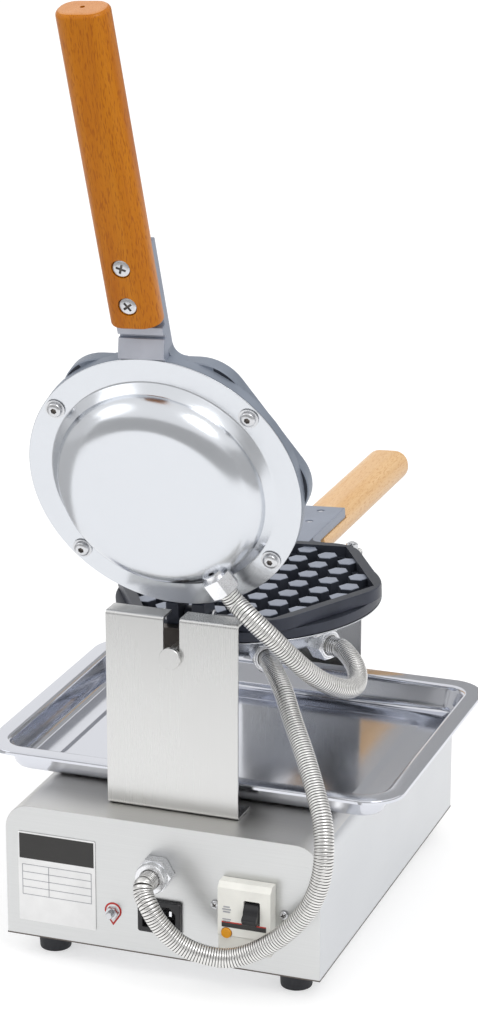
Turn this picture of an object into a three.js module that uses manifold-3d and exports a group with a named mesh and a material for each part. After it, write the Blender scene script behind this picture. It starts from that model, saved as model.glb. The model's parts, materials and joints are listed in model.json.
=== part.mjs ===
// Commercial round waffle maker: a steel base with a rear and a front bracket, between which a
// hinged pair of cast irons with honeycomb plates turns over. Millimetres, +Z up, +Y to the rear.
import * as THREE from 'three';
import { mergeVertices } from 'three/addons/utils/BufferGeometryUtils.js';
import Module from 'manifold-3d';

const wasm = await Module();
wasm.setup();

// General
const clearance = 0.3;
const overrun = 2;
const roundSides = 16;
const smallSides = 8;
const plateSides = 36;
const arcSegments = 3;
const hexSides = 6;
const fullTurn = Math.PI * 2;
const halfTurn = Math.PI;
const quarterTurn = Math.PI / 2;
const halfTurnDegrees = 180;

// Base casing
const footHeight = 17.5;
const footTopRadius = 12;
const footBottomRadius = 11;
const footSideInset = 25;
const footEndInset = 25.3;
const footRecessRadius = 6;
const footWeb = 8;
const footStudLength = 12;
const casingWidth = 228;
const casingDepth = 314.6;
const casingHeight = 97.2;
const casingCorner = 18;
const casingSheet = 1.2;
const lipWidth = 10;

// Drip tray
const trayHalfWidth = 152.1;
const trayHalfDepth = 119.7;
const trayCentreY = -1.8;
const trayCorner = 14;
const trayRimWidth = 13.5;
const trayRimDrop = 3;
const traySheet = 0.9;
const trayDepth = 20.4;
const trayWallSlope = 4;
const trayPanelInset = 26;
const trayPanelRise = 1.2;

// Brackets
const bracketWidth = 94.6;
const bracketSheet = 1.6;
const rearBracketFace = 134.2;
const rearBracketRise = 28;
const rearTopFlange = 16.2;
const bracketFootFlange = 24.2;
const slotHalfWidth = 5.75;
const frontBracketFace = -138.5;
const frontBracketDrop = 3.7;
const frontTopFlange = 16.5;
const handleNotchRadius = 26.5;
const cradleRadius = 18;
const cradleSheet = 1.5;
const cradleWidth = 9;
const cradleGapToNeck = 0.8;
const cradleBoltX = 42;
const cradleEarHalf = 5.2;
const boltRadius = 2.5;
const nutRadius = 4.6;
const nutHeight = 4;
const bracketBoltX = 30;
const bracketBoltInset = 14;

// Iron pair: pivot, hinge and places
const pivotHeight = 227;
const rockAngle = 2.85;
const plateCentre = -18.5;
const partingRise = 7.35;
const hingeBack = 91.8;
const hingeRise = 15.94;
const openAngle = 105.8;

// Cast irons
const matingGap = 0.15;
const hexInradius = 89;
const lobeRadius = 98;
const lobeDepth = 9.5;
const discRadius = 94.9;
const ironThickness = 16.4;
const cavityRadius = 94;
const cavityWall = 8;
const cavityFloorRadius = 89.5;
const cavityDepth = 12.5;
const postRadius = 7.6;
const postPitch = 21.8;
const postTop = 2;
const columnPostShares = [3, 2.5, 3, 1.5, 0];
const wallPostShares = [0, 3.5, 0, 2.5, 1];
const neckWidth = 32;
const tongueTip = 174.8;
const tongueThickness = 8;
const neckStart = 115.5;
const neckThickness = 12.4;
const neckGroove = 2.5;
const neckGrooveStart = 109.8;
const neckGrooveDepth = 3;
const neckShoulder = 100.5;
const neckShoulderThickness = 16.3;
const neckTop = 18.8;
const handleHoleNear = 137;
const handleHoleFar = 164;
const handleScrewRadius = 2.5;

// Hinge and pivot pieces
const armInner = 4.7;
const armOuter = 14;
const armRadius = 13.4;
const armTopAtRim = 18;
const hingePinRadius = 3;
const knuckleRadius = 6.5;
const lugHalfWidth = 17;
const lugTop = 2;
const stopWallFront = 105.5;
const stopWallTop = 13.6;
const pivotBlockThickness = 9;
const pivotPinRadius = 5.4;
const pivotThreadRadius = 4;
const pivotHeadRadius = 7.55;
const pivotHeadThickness = 3.6;
const blockStudX = 11;
const blockStudDrop = 4.5;
const blockStudRadius = 2;
const blockStudLength = 12;
const hingeHeadRadius = 4.6;
const hingeHeadThickness = 2.2;
const hingeNutRadius = 5.2;
const hingeNutThickness = 4.6;
const hingePinTail = 2.6;

// Covers and what they hold
const coverSheet = 1;
const domeRadius = 76.8;
const domeHeight = 24.6;
const domeDraft = 4;
const domeShoulder = 21;
const coverScrewCircle = 86.7;
const coverScrewAngle = 39;
const coverScrewRadius = 2;
const coverScrewHeadRadius = 4;
const coverScrewHeadHeight = 2.4;
const coverScrewDepth = 5.5;
const washerRadius = 6.8;
const washerThickness = 0.8;
const heaterRing = 52;
const heaterRadius = 3.5;
const heaterGapAngle = 50;
const heaterSteps = 30;
const padRadius = 50;
const padThickness = 10;
const bulbRadius = 3;
const bulbHalfLength = 35;
const bulbOffset = 22;
const glandDepth = 34;
const upperGlandAngle = 119;
const lowerGlandAngleShort = 154;
const lowerGlandAngleLong = 118.5;
const glandSpigotRadius = 7;
const glandSpigotLength = 10;
const glandBore = 3.5;
const glandNutRadius = 10.2;
const glandNutLength = 9.5;
const glandSeatWall = 1;
const glandCollarRadius = 9;
const glandCollarLength = 2.5;

// Handles
const handleStart = 120.7;
const handleEnd = 336.7;
const handleHalfWidth = 17.3;
const handleFlat = 0.5;
const handleThickness = 24.6;
const handleCorner = 11.5;
const handleInnerCorner = 11;
const handleEndChamfer = 3;
const handleScrewCup = 6.5;
const handleCupDepth = 2.6;
const handleScrewHeadRadius = 6.2;
const handleScrewHeadHeight = 2.2;

// Rear panel pieces
const inletX = 0.3;
const inletZ = 47.9;
const inletFlangeWidth = 31;
const inletFlangeHeight = 24;
const inletFlangeThickness = 3;
const inletBodyWidth = 26.6;
const inletBodyHeight = 19;
const inletBodyDepth = 24;
const inletSocketWidth = 24;
const inletSocketHeight = 16.5;
const inletSocketDepth = 16;
const inletPinWidth = 2;
const inletPinHeight = 4;
const inletPinLength = 12;
const inletPinSpacing = 7;
const inletPinLift = 2;
const breakerX = -64;
const breakerZ = 60;
const breakerWidth = 37.5;
const breakerHeight = 50;
const breakerProud = 11;
const breakerBevel = 3.5;
const breakerInnerWidth = 34;
const breakerInnerHeight = 46;
const breakerInnerDepth = 44;
const toggleX = -69.5;
const toggleZ = 65.5;
const toggleWidth = 11;
const toggleSlotHeight = 17.5;
const toggleRadius = 7.5;
const toggleTip = 3.5;
const toggleThickness = 6;
const toggleTilt = 24;
const testX = -51.6;
const testZ = 49;
const testRadius = 3.6;
const testTravel = 1.5;
const testProud = 1.2;
const testLength = 7;
const testSpringRoom = 3;
const panelScrewRadius = 1.5;
const panelScrewHeadRadius = 3;
const panelScrewHeadHeight = 2;
const breakerScrewSpread = 24.4;
const breakerScrewRise = 3.1;
const gland = { x: 2, z: 81, nutRadius: 12.7, nutLength: 9, collarRadius: 10.8, collarLength: 6 };
const glandLocknutThickness = 4;
const glandTailLength = 10;
const glandTailRadius = 7.4;
const earthX = 34.9;
const earthZ = 45.7;
const earthLength = 20;
const earthTail = 4;
const stickerThickness = 0.5;
const labelX = 76;
const labelZ = 62.5;
const labelWidth = 57;
const labelHeight = 66;

// Front panel pieces
const knobX = 52;
const knobZ = 64;
const knobRadius = 20;
const knobSkirtRadius = 22;
const knobSkirtThickness = 3;
const knobThickness = 17;
const knobGripWidth = 9;
const knobGripRise = 7;
const knobStandOff = 3;
const spindleRadius = 3;
const spindleInBody = 12;
const controlWidth = 38;
const controlHeight = 44;
const controlDepth = 30;
const controlScrewSpread = 13;
const controlScrewDepth = 6;
const lampX = 14;
const lampZ = 92;
const lampRadius = 5;
const lampLensRadius = 6.5;
const lampProud = 4;
const lampDepth = 20;
const terminalWidth = 60;
const terminalDepth = 22;
const terminalHeight = 16;
const terminalY = 40;
const terminalSlotWidth = 6;
const terminalSlotDepth = 5;
const terminalWays = 5;

// Conduits
const hoseRadius = 6.8;
const hoseRootRadius = 6.1;
const hoseBore = 5;
const ribPitch = 6;
const ribRingPoints = 8;
const ribsPerBoreRing = 5;
const plainHoseSides = 10;
const plainHoseStep = 17;

// Worked out from the above
const casingBottom = footHeight;
const casingTop = casingBottom + casingHeight;
const casingBack = casingDepth / 2;
const footX = casingWidth / 2 - footSideInset;
const footY = casingBack - footEndInset;
const rearBracketTop = pivotHeight + rearBracketRise;
const frontBracketTop = pivotHeight - frontBracketDrop;
const trayTop = casingTop + clearance + trayDepth;
const coverBase = ironThickness + clearance;
const coverTop = coverBase + domeHeight;
const coverFlangeTop = coverBase + coverSheet;
const domeShoulderZ = coverTop - domeShoulder;
const glandFlatLow = glandDepth - glandNutRadius * Math.cos(fullTurn / hexSides / 2);
const glandNutStart = clearance + domeRadius - domeDraft - domeShoulder
  + Math.sqrt(domeShoulder ** 2 - (glandFlatLow - domeShoulderZ) ** 2);
const postColumn = postPitch * Math.sqrt(3) / 2;
const hingeY = hingeBack - plateCentre;
const hingeZ = hingeRise - partingRise;

function radians(angle) {
  return THREE.MathUtils.degToRad(angle);
}

// Closed solid from a three.js geometry: shared vertices merged, empty triangles dropped, faces out
function solid(geometry) {
  const bare = geometry.clone();
  bare.deleteAttribute('normal');
  bare.deleteAttribute('uv');
  const merged = mergeVertices(bare);
  const place = merged.attributes.position.array;
  const corners = [];
  let volume = 0;
  const a = new THREE.Vector3();
  const b = new THREE.Vector3();
  const c = new THREE.Vector3();
  for (let i = 0; i < merged.index.count; i += 3) {
    const [p, q, r] = merged.index.array.slice(i, i + 3);
    if (p !== q && q !== r && r !== p) {
      corners.push([p, q, r]);
      volume += a.fromArray(place, 3 * p).dot(b.fromArray(place, 3 * q).cross(c.fromArray(place, 3 * r)));
    }
  }
  const triVerts = new Uint32Array(corners.flatMap(([p, q, r]) => (volume > 0 ? [p, q, r] : [p, r, q])));
  return new wasm.Manifold(new wasm.Mesh({ numProp: 3, vertProperties: place, triVerts }));
}

function join(...solids) {
  return solids.reduce((whole, next) => whole.add(next));
}

function cut(whole, ...tools) {
  return tools.reduce((rest, tool) => rest.subtract(tool), whole);
}

function block(x0, x1, y0, y1, z0, z1) {
  const geometry = new THREE.BoxGeometry(x1 - x0, y1 - y0, z1 - z0);
  return solid(geometry.translate((x0 + x1) / 2, (y0 + y1) / 2, (z0 + z1) / 2));
}

function taperZ(radius0, radius1, z0, z1, x = 0, y = 0, sides = roundSides) {
  const geometry = new THREE.CylinderGeometry(radius1, radius0, z1 - z0, sides);
  return solid(geometry.rotateX(quarterTurn).translate(x, y, (z0 + z1) / 2));
}

function rodZ(radius, z0, z1, x = 0, y = 0, sides = roundSides) {
  return taperZ(radius, radius, z0, z1, x, y, sides);
}

function rodY(radius, y0, y1, x = 0, z = 0, sides = roundSides) {
  const geometry = new THREE.CylinderGeometry(radius, radius, y1 - y0, sides);
  return solid(geometry.translate(x, (y0 + y1) / 2, z));
}

function rodX(radius, x0, x1, y = 0, z = 0, sides = roundSides) {
  const geometry = new THREE.CylinderGeometry(radius, radius, x1 - x0, sides);
  return solid(geometry.rotateZ(quarterTurn).translate((x0 + x1) / 2, y, z));
}

function extrude(shape, depth) {
  return new THREE.ExtrudeGeometry(shape, { depth, bevelEnabled: false, curveSegments: arcSegments });
}

function prismZ(shape, z0, z1) {
  return solid(extrude(shape, z1 - z0).translate(0, 0, z0));
}

// Outline in Y and Z, run along X
function prismX(shape, x0, x1) {
  const turn = new THREE.Matrix4().makeBasis(
    new THREE.Vector3(0, 1, 0),
    new THREE.Vector3(0, 0, 1),
    new THREE.Vector3(1, 0, 0),
  );
  return solid(extrude(shape, x1 - x0).applyMatrix4(turn).translate(x0, 0, 0));
}

// Outline in X and Z, run along Y
function prismY(shape, y0, y1) {
  return solid(extrude(shape, y1 - y0).rotateX(quarterTurn).translate(0, y1, 0));
}

function latheZ(profile, sides) {
  const points = profile.map(([radius, height]) => new THREE.Vector2(radius, height));
  return solid(new THREE.LatheGeometry(points, sides).rotateX(quarterTurn));
}

function outline(points) {
  return new THREE.Shape(points.map(([x, y]) => new THREE.Vector2(x, y)));
}

function roundedRect(halfWidth, halfHeight, corner, x = 0, y = 0) {
  const shape = new THREE.Shape();
  shape.absarc(x + halfWidth - corner, y - halfHeight + corner, corner, -quarterTurn, 0);
  shape.absarc(x + halfWidth - corner, y + halfHeight - corner, corner, 0, quarterTurn);
  shape.absarc(x - halfWidth + corner, y + halfHeight - corner, corner, quarterTurn, halfTurn);
  shape.absarc(x - halfWidth + corner, y - halfHeight + corner, corner, halfTurn, halfTurn + quarterTurn);
  return shape;
}

function hexagon(radius, x = 0, y = 0, start = 0) {
  const points = [];
  for (let side = 0; side < hexSides; side += 1) {
    const angle = start + side * fullTurn / hexSides;
    points.push([x + radius * Math.cos(angle), y + radius * Math.sin(angle)]);
  }
  return outline(points);
}

function material(color, roughness, metalness) {
  return new THREE.MeshStandardMaterial({ color, roughness, metalness });
}

function brushedSteel() {
  return material(0xd3d3d1, 0.36, 0.9);
}

function polishedSteel() {
  return material(0xdfe0e4, 0.14, 1);
}

function castIron() {
  return material(0x4f535e, 0.6, 0.5);
}

function plated() {
  return material(0xc9cbcf, 0.25, 1);
}

function blackPlastic() {
  return material(0x1e1f24, 0.5, 0);
}

function addPiece(group, name, look, shape) {
  const mesh = shape.getMesh();
  const geometry = new THREE.BufferGeometry();
  geometry.setAttribute('position', new THREE.BufferAttribute(mesh.vertProperties, 3));
  geometry.setIndex(new THREE.BufferAttribute(mesh.triVerts, 1));
  const piece = new THREE.Mesh(geometry, look);
  piece.name = name;
  group.add(piece);
  return piece;
}

// Places mirrored to both sides in X, and to both sides in X and Y
function bothX(x, make) {
  return [make(-x), make(x)];
}

function fourCorners(x, y, make) {
  return [make(-x, -y), make(x, -y), make(-x, y), make(x, y)];
}

// Base casing: one folded sheet with rounded top edges, open below, cut for what it carries
function casingSection(inset) {
  const halfWidth = casingWidth / 2 - inset;
  const corner = casingCorner - inset;
  const shape = new THREE.Shape();
  shape.moveTo(-halfWidth, casingBottom);
  shape.lineTo(halfWidth, casingBottom);
  shape.absarc(halfWidth - corner, casingTop - inset - corner, corner, 0, quarterTurn);
  shape.absarc(-halfWidth + corner, casingTop - inset - corner, corner, quarterTurn, halfTurn);
  return shape;
}

function casingCuts() {
  const back = casingBack - casingSheet - overrun;
  const rearEnd = casingBack + overrun;
  const front = -casingBack - overrun;
  const frontEnd = -casingBack + casingSheet + overrun;
  const breakerHalf = breakerInnerWidth / 2 + clearance;
  const breakerRise = breakerInnerHeight / 2 + clearance;
  const inletHalf = inletBodyWidth / 2 + clearance;
  const inletRise = inletBodyHeight / 2 + clearance;
  const boltY = [
    rearBracketFace - bracketBoltInset,
    frontBracketFace + bracketBoltInset,
  ];
  return [
    block(breakerX - breakerHalf, breakerX + breakerHalf, back, rearEnd,
      breakerZ - breakerRise, breakerZ + breakerRise),
    block(inletX - inletHalf, inletX + inletHalf, back, rearEnd, inletZ - inletRise, inletZ + inletRise),
    rodY(glandTailRadius + clearance, back, rearEnd, gland.x, gland.z),
    rodY(boltRadius + clearance, back, rearEnd, earthX, earthZ, smallSides),
    ...bothX(breakerScrewSpread, (x) => rodY(panelScrewRadius + clearance, back, rearEnd,
      breakerX + x, breakerZ + breakerScrewRise, smallSides)),
    ...bothX(knobX, (x) => rodY(spindleRadius + clearance, front, frontEnd, x, knobZ, smallSides)),
    ...bothX(lampX, (x) => rodY(lampRadius + clearance, front, frontEnd, x, lampZ, smallSides)),
    ...[-knobX, knobX].flatMap((x) => bothX(controlScrewSpread, (spread) => rodY(
      panelScrewRadius + clearance, front, frontEnd, x + spread, knobZ, smallSides))),
    ...boltY.flatMap((y) => bothX(bracketBoltX, (x) => rodZ(boltRadius + clearance,
      casingTop - casingSheet - overrun, casingTop + overrun, x, y, smallSides))),
  ];
}

function buildCasing(group) {
  const inner = casingBack - casingSheet;
  const lipBottom = casingBottom + casingSheet + clearance;
  const lipOuter = casingWidth / 2 - casingSheet / 2;
  const lips = bothX(1, (side) => {
    const ends = [side * lipOuter, side * (casingWidth / 2 - casingSheet - lipWidth)].sort((a, b) => a - b);
    return block(ends[0], ends[1], -inner, inner, lipBottom, lipBottom + casingSheet);
  });
  const hollow = join(
    prismY(casingSection(casingSheet), -inner, inner),
    block(-casingWidth / 2 + casingSheet, casingWidth / 2 - casingSheet, -inner, inner,
      casingBottom - overrun, casingBottom + overrun),
  );
  const shell = cut(prismY(casingSection(0), -casingBack, casingBack), hollow, ...casingCuts());
  addPiece(group, 'casing', brushedSteel(), join(shell, ...lips));

  const plateX = casingWidth / 2 - casingSheet - clearance;
  const plateY = inner - clearance;
  const plateTop = casingBottom + casingSheet;
  const plate = block(-plateX, plateX, -plateY, plateY, casingBottom, plateTop);
  addPiece(group, 'bottom_plate', brushedSteel(), cut(
    plate,
    ...fourCorners(footX, footY, (x, y) => rodZ(boltRadius + clearance,
      casingBottom - overrun, plateTop + overrun, x, y, smallSides)),
  ));
}

// Rubber feet, each moulded on a stud that goes through the bottom plate
function buildFeet(group) {
  const top = footHeight - clearance;
  const feet = fourCorners(footX, footY, (x, y) => join(
    cut(
      taperZ(footBottomRadius, footTopRadius, 0, top, x, y),
      rodZ(footRecessRadius, -overrun, top - footWeb, x, y, smallSides),
    ),
    rodZ(boltRadius, top - footWeb / 2, top + footStudLength, x, y, smallSides),
  ));
  feet.forEach((foot, number) => addPiece(group, `rubber_foot_${number + 1}`, blackPlastic(), foot));
}

// Pressed tray: rolled rim, sloping wall, flat floor with a raised panel
function buildTray(group) {
  const bottom = casingTop + clearance;
  const wellX = trayHalfWidth - trayRimWidth;
  const wellY = trayHalfDepth - trayRimWidth;
  function pan(top, floor, grow) {
    const shapeTop = roundedRect(wellX + grow, wellY + grow, trayCorner + grow, 0, trayCentreY);
    const geometry = extrude(shapeTop, top - floor);
    const place = geometry.attributes.position;
    for (let i = 0; i < place.count; i += 1) {
      const low = place.getZ(i) < (top - floor) / 2;
      const shrinkX = low ? 1 - trayWallSlope / wellX : 1;
      const shrinkY = low ? 1 - trayWallSlope / wellY : 1;
      place.setX(i, place.getX(i) * shrinkX);
      place.setY(i, trayCentreY + (place.getY(i) - trayCentreY) * shrinkY);
    }
    return solid(geometry.translate(0, 0, floor));
  }
  const rimCorner = trayCorner + trayRimWidth / 2;
  const rimBottom = trayTop - trayRimDrop;
  const rimOutline = roundedRect(trayHalfWidth, trayHalfDepth, rimCorner, 0, trayCentreY);
  const rim = prismZ(rimOutline, rimBottom, trayTop);
  const rimHollow = prismZ(roundedRect(trayHalfWidth - traySheet, trayHalfDepth - traySheet,
    rimCorner - traySheet, 0, trayCentreY), rimBottom - overrun, trayTop - traySheet);
  const outer = pan(trayTop - traySheet / 2, bottom, 0);
  const inner = pan(trayTop + overrun, bottom + traySheet, -traySheet);
  const panelX = wellX - trayPanelInset;
  const panelY = wellY - trayPanelInset;
  const panel = prismZ(roundedRect(panelX, panelY, trayCorner, 0, trayCentreY),
    bottom + traySheet / 2, bottom + traySheet + trayPanelRise);
  const pressed = cut(join(cut(rim, rimHollow), outer), inner);
  addPiece(group, 'drip_tray', polishedSteel(), join(pressed, panel));
}

// Channel bracket standing on the casing: back wall with a foot flange and a top flange
function channel(face, inward, top, topFlange) {
  const bottom = casingTop + clearance;
  const wall = [face, face + inward * bracketSheet];
  const foot = [face, face + inward * bracketFootFlange];
  const crown = [face, face + inward * topFlange];
  function plate(span, z0, z1) {
    const [near, far] = [...span].sort((a, b) => a - b);
    return block(-bracketWidth / 2, bracketWidth / 2, near, far, z0, z1);
  }
  return join(
    plate(wall, bottom, top),
    plate(foot, bottom, bottom + bracketSheet),
    plate(crown, top - bracketSheet, top),
  );
}

function bracketHoles(face, inward) {
  const bottom = casingTop + clearance;
  const y = face + inward * bracketBoltInset;
  return bothX(bracketBoltX, (x) => rodZ(boltRadius + clearance, bottom - overrun,
    bottom + bracketSheet + overrun, x, y, smallSides));
}

function buildBrackets(group) {
  const slotEnd = rearBracketTop + overrun;
  const slotNear = rearBracketFace - rearTopFlange - overrun;
  const slotFar = rearBracketFace + overrun;
  const slot = join(
    rodY(slotHalfWidth, slotNear, slotFar, 0, pivotHeight),
    block(-slotHalfWidth, slotHalfWidth, slotNear, slotFar, pivotHeight, slotEnd),
  );
  const rearChannel = channel(rearBracketFace, -1, rearBracketTop, rearTopFlange);
  const rearHoles = bracketHoles(rearBracketFace, -1);
  addPiece(group, 'rear_bracket', brushedSteel(), cut(rearChannel, slot, ...rearHoles));

  const earY = cradleMiddle();
  const front = cut(
    channel(frontBracketFace, 1, frontBracketTop, frontTopFlange),
    rodY(handleNotchRadius, frontBracketFace - overrun, frontBracketFace + frontTopFlange + overrun,
      0, pivotHeight),
    ...bracketHoles(frontBracketFace, 1),
    ...bothX(cradleBoltX, (x) => rodZ(boltRadius + clearance, frontBracketTop - bracketSheet - overrun,
      frontBracketTop + overrun, x, earY, smallSides)),
  );
  addPiece(group, 'front_bracket', brushedSteel(), front);
}

// The cradle's middle in Y: just behind the end of the iron's neck
function cradleMiddle() {
  return plateCentre - neckStart + cradleGapToNeck + cradleWidth / 2;
}

// Saddle strap under the neck of the lower iron, bolted to the front bracket's top flange
function buildCradle(group) {
  const middle = cradleMiddle();
  const near = middle - cradleWidth / 2;
  const far = middle + cradleWidth / 2;
  const outer = cradleRadius + cradleSheet;
  const earBottom = frontBracketTop + clearance;
  const earTop = earBottom + cradleSheet;
  const earEnd = cradleBoltX + cradleEarHalf;
  const halfRing = cut(
    rodY(outer, near, far, 0, pivotHeight, plateSides),
    block(-outer - overrun, outer + overrun, near - overrun, far + overrun,
      earTop, pivotHeight + outer + overrun),
  );
  const ears = block(-earEnd, earEnd, near, far, earBottom, earTop);
  const strap = cut(
    join(halfRing, ears),
    rodY(cradleRadius, near - overrun, far + overrun, 0, pivotHeight, plateSides),
    ...bothX(cradleBoltX, (x) => rodZ(boltRadius + clearance, earBottom - overrun, earTop + overrun,
      x, middle, smallSides)),
  );
  addPiece(group, 'front_cradle', brushedSteel(), strap);
  const headTop = frontBracketTop - bracketSheet - clearance;
  const nutBottom = earTop + clearance;
  const nutTop = nutBottom + nutHeight;
  const bolts = bothX(cradleBoltX, (x) => join(
    prismZ(hexagon(nutRadius, x, middle), headTop - nutHeight, headTop),
    rodZ(boltRadius, headTop - nutHeight / 2, nutTop + boltRadius / 2, x, middle, smallSides),
    prismZ(hexagon(nutRadius, x, middle), nutBottom, nutTop),
  ));
  bolts.forEach((bolt, number) => addPiece(group, `cradle_bolt_${number + 1}`, plated(), bolt));
}

// Rear panel: power inlet, breaker, earth stud, label and the base end of the conduit
function buildInlet(group) {
  const face = casingBack + clearance;
  const flangeX = inletFlangeWidth / 2;
  const flangeZ = inletFlangeHeight / 2;
  const body = join(
    block(inletX - flangeX, inletX + flangeX, face, face + inletFlangeThickness,
      inletZ - flangeZ, inletZ + flangeZ),
    block(inletX - inletBodyWidth / 2, inletX + inletBodyWidth / 2,
      face - inletBodyDepth, face + inletFlangeThickness / 2,
      inletZ - inletBodyHeight / 2, inletZ + inletBodyHeight / 2),
  );
  const mouth = face + inletFlangeThickness;
  const socket = block(inletX - inletSocketWidth / 2, inletX + inletSocketWidth / 2, mouth - inletSocketDepth,
    mouth + overrun, inletZ - inletSocketHeight / 2, inletZ + inletSocketHeight / 2);
  const floor = mouth - inletSocketDepth;
  const places = [
    [-inletPinSpacing, inletPinLift],
    [0, -inletPinLift],
    [inletPinSpacing, inletPinLift],
  ];
  const tail = face - inletBodyDepth - inletPinHeight;
  addPiece(group, 'power_inlet', blackPlastic(), join(cut(body, socket), ...places.map(([x, z]) => block(
    inletX + x - inletPinWidth / 2, inletX + x + inletPinWidth / 2, tail, floor + inletPinLength,
    inletZ + z - inletPinHeight / 2, inletZ + z + inletPinHeight / 2))));
}

function buildBreaker(group) {
  const face = casingBack + clearance;
  const front = face + breakerProud;
  const halfWidth = breakerWidth / 2;
  const halfHeight = breakerHeight / 2;
  const proud = cut(
    block(breakerX - halfWidth, breakerX + halfWidth, face, front,
      breakerZ - halfHeight, breakerZ + halfHeight),
    prismX(outline([
      [front - breakerBevel, breakerZ + halfHeight + overrun],
      [front - breakerBevel, breakerZ + halfHeight],
      [front, breakerZ + halfHeight - breakerBevel],
      [front + overrun, breakerZ + halfHeight - breakerBevel],
      [front + overrun, breakerZ + halfHeight + overrun],
    ]), breakerX - halfWidth - overrun, breakerX + halfWidth + overrun),
  );
  const inner = block(breakerX - breakerInnerWidth / 2, breakerX + breakerInnerWidth / 2,
    face - breakerInnerDepth, face + breakerProud / 2,
    breakerZ - breakerInnerHeight / 2, breakerZ + breakerInnerHeight / 2);
  const toggleHub = front - toggleRadius / 2;
  const slot = join(
    block(toggleX - toggleWidth / 2, toggleX + toggleWidth / 2, toggleHub, front + overrun,
      toggleZ - toggleSlotHeight / 2, toggleZ + toggleSlotHeight / 2),
    rodX(toggleSlotHeight / 2, toggleX - toggleWidth / 2, toggleX + toggleWidth / 2, toggleHub, toggleZ),
  );
  const testDepth = testLength - testProud + testTravel + testSpringRoom;
  const well = rodY(testRadius + clearance, front - testDepth, front + overrun, testX, testZ);
  addPiece(group, 'breaker_case', material(0xeceadc, 0.45, 0), cut(join(proud, inner), slot, well));

  // The lever turns about its hub and rests in its lower place
  const half = toggleWidth / 2 - clearance;
  const lever = join(
    rodX(toggleRadius, -half, half),
    block(-half, half, 0, toggleRadius + toggleTip, -toggleThickness / 2, toggleThickness / 2),
  );
  const hub = new THREE.Group();
  hub.position.set(toggleX, toggleHub, toggleZ);
  hub.rotation.x = -radians(toggleTilt);
  group.add(hub);
  addPiece(hub, 'breaker_toggle', blackPlastic(), lever);
  const buttonFront = front + testProud;
  addPiece(group, 'breaker_test_button', material(0xe8a21a, 0.4, 0),
    rodY(testRadius, buttonFront - testLength, buttonFront, testX, testZ, smallSides));
}

// Pan-head screw through a panel, its head outside, run along Y towards the inside
function panelScrew(x, z, panelFace, inward, depth) {
  const spans = [
    [panelFace - inward * clearance, panelFace - inward * (clearance + panelScrewHeadHeight)],
    [panelFace - inward * (clearance + panelScrewHeadHeight / 2), panelFace + inward * depth],
  ].map((span) => span.sort((a, b) => a - b));
  return join(
    rodY(panelScrewHeadRadius, ...spans[0], x, z, smallSides),
    rodY(panelScrewRadius, ...spans[1], x, z, smallSides),
  );
}

function buildBreakerScrews(group) {
  const screws = bothX(breakerScrewSpread, (x) => panelScrew(breakerX + x, breakerZ + breakerScrewRise,
    casingBack, -1, casingSheet + controlScrewDepth));
  screws.forEach((screw, number) => addPiece(group, `breaker_screw_${number + 1}`, plated(), screw));
}

function buildPanelPieces(group) {
  const face = casingBack + clearance;
  const studEnd = face + nutHeight + earthTail;
  const inside = casingBack - casingSheet - clearance;
  addPiece(group, 'earth_stud', plated(), join(
    rodY(boltRadius, studEnd - earthLength, studEnd, earthX, earthZ, smallSides),
    prismY(hexagon(nutRadius, earthX, earthZ), face, face + nutHeight),
    prismY(hexagon(nutRadius, earthX, earthZ), inside - nutHeight, inside),
  ));
  const label = block(labelX - labelWidth / 2, labelX + labelWidth / 2, face, face + stickerThickness,
    labelZ - labelHeight / 2, labelZ + labelHeight / 2);
  addPiece(group, 'rating_label', material(0xf4f4f4, 0.5, 0), label);
}

function buildBaseGland(group) {
  const face = casingBack + clearance;
  const collarStart = face + gland.nutLength;
  const mouth = collarStart + gland.collarLength;
  const tail = casingBack - casingSheet - glandTailLength;
  const seat = mouth - gland.collarLength;
  const nutEnd = casingBack - casingSheet - clearance;
  addPiece(group, 'base_gland', plated(), cut(
    join(
      prismY(hexagon(gland.nutRadius, gland.x, gland.z), face, collarStart),
      rodY(gland.collarRadius, collarStart - clearance, mouth, gland.x, gland.z),
      rodY(glandTailRadius, tail, face + clearance, gland.x, gland.z),
      prismY(hexagon(gland.nutRadius, gland.x, gland.z), nutEnd - glandLocknutThickness, nutEnd),
    ),
    rodY(hoseRadius + clearance, seat, mouth + overrun, gland.x, gland.z),
    rodY(hoseBore, tail - overrun, seat + overrun, gland.x, gland.z, smallSides),
  ));
  return {
    point: new THREE.Vector3(gland.x, seat + clearance, gland.z),
    way: new THREE.Vector3(0, 1, 0),
  };
}

// Front panel: thermostat and timer with their knobs, and two lamps
function buildControl(group, name, x, look) {
  const panelOut = -casingBack;
  const panelIn = panelOut + casingSheet;
  const back = panelIn + clearance;
  const body = cut(
    block(x - controlWidth / 2, x + controlWidth / 2, back, back + controlDepth,
      knobZ - controlHeight / 2, knobZ + controlHeight / 2),
    rodY(spindleRadius + clearance, back - overrun, back + spindleInBody + clearance, x, knobZ, smallSides),
  );
  const screws = bothX(controlScrewSpread, (spread) => panelScrew(x + spread, knobZ, panelOut, 1,
    casingSheet + controlScrewDepth));
  addPiece(group, `${name}_body`, material(0x8d8f90, 0.5, 0.2), join(body, ...screws));
  const rear = panelOut - knobStandOff;
  const front = rear - knobThickness;
  const knob = join(
    rodY(knobSkirtRadius, rear - knobSkirtThickness, rear, x, knobZ),
    rodY(knobRadius, front + knobGripRise, rear - knobSkirtThickness / 2, x, knobZ),
    block(x - knobGripWidth / 2, x + knobGripWidth / 2, front, front + knobGripRise + overrun,
      knobZ - knobRadius + knobSkirtThickness, knobZ + knobRadius - clearance),
    rodY(spindleRadius, rear - knobSkirtThickness, back + spindleInBody, x, knobZ, smallSides),
  );
  addPiece(group, `${name}_knob`, look, knob);
}

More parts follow.
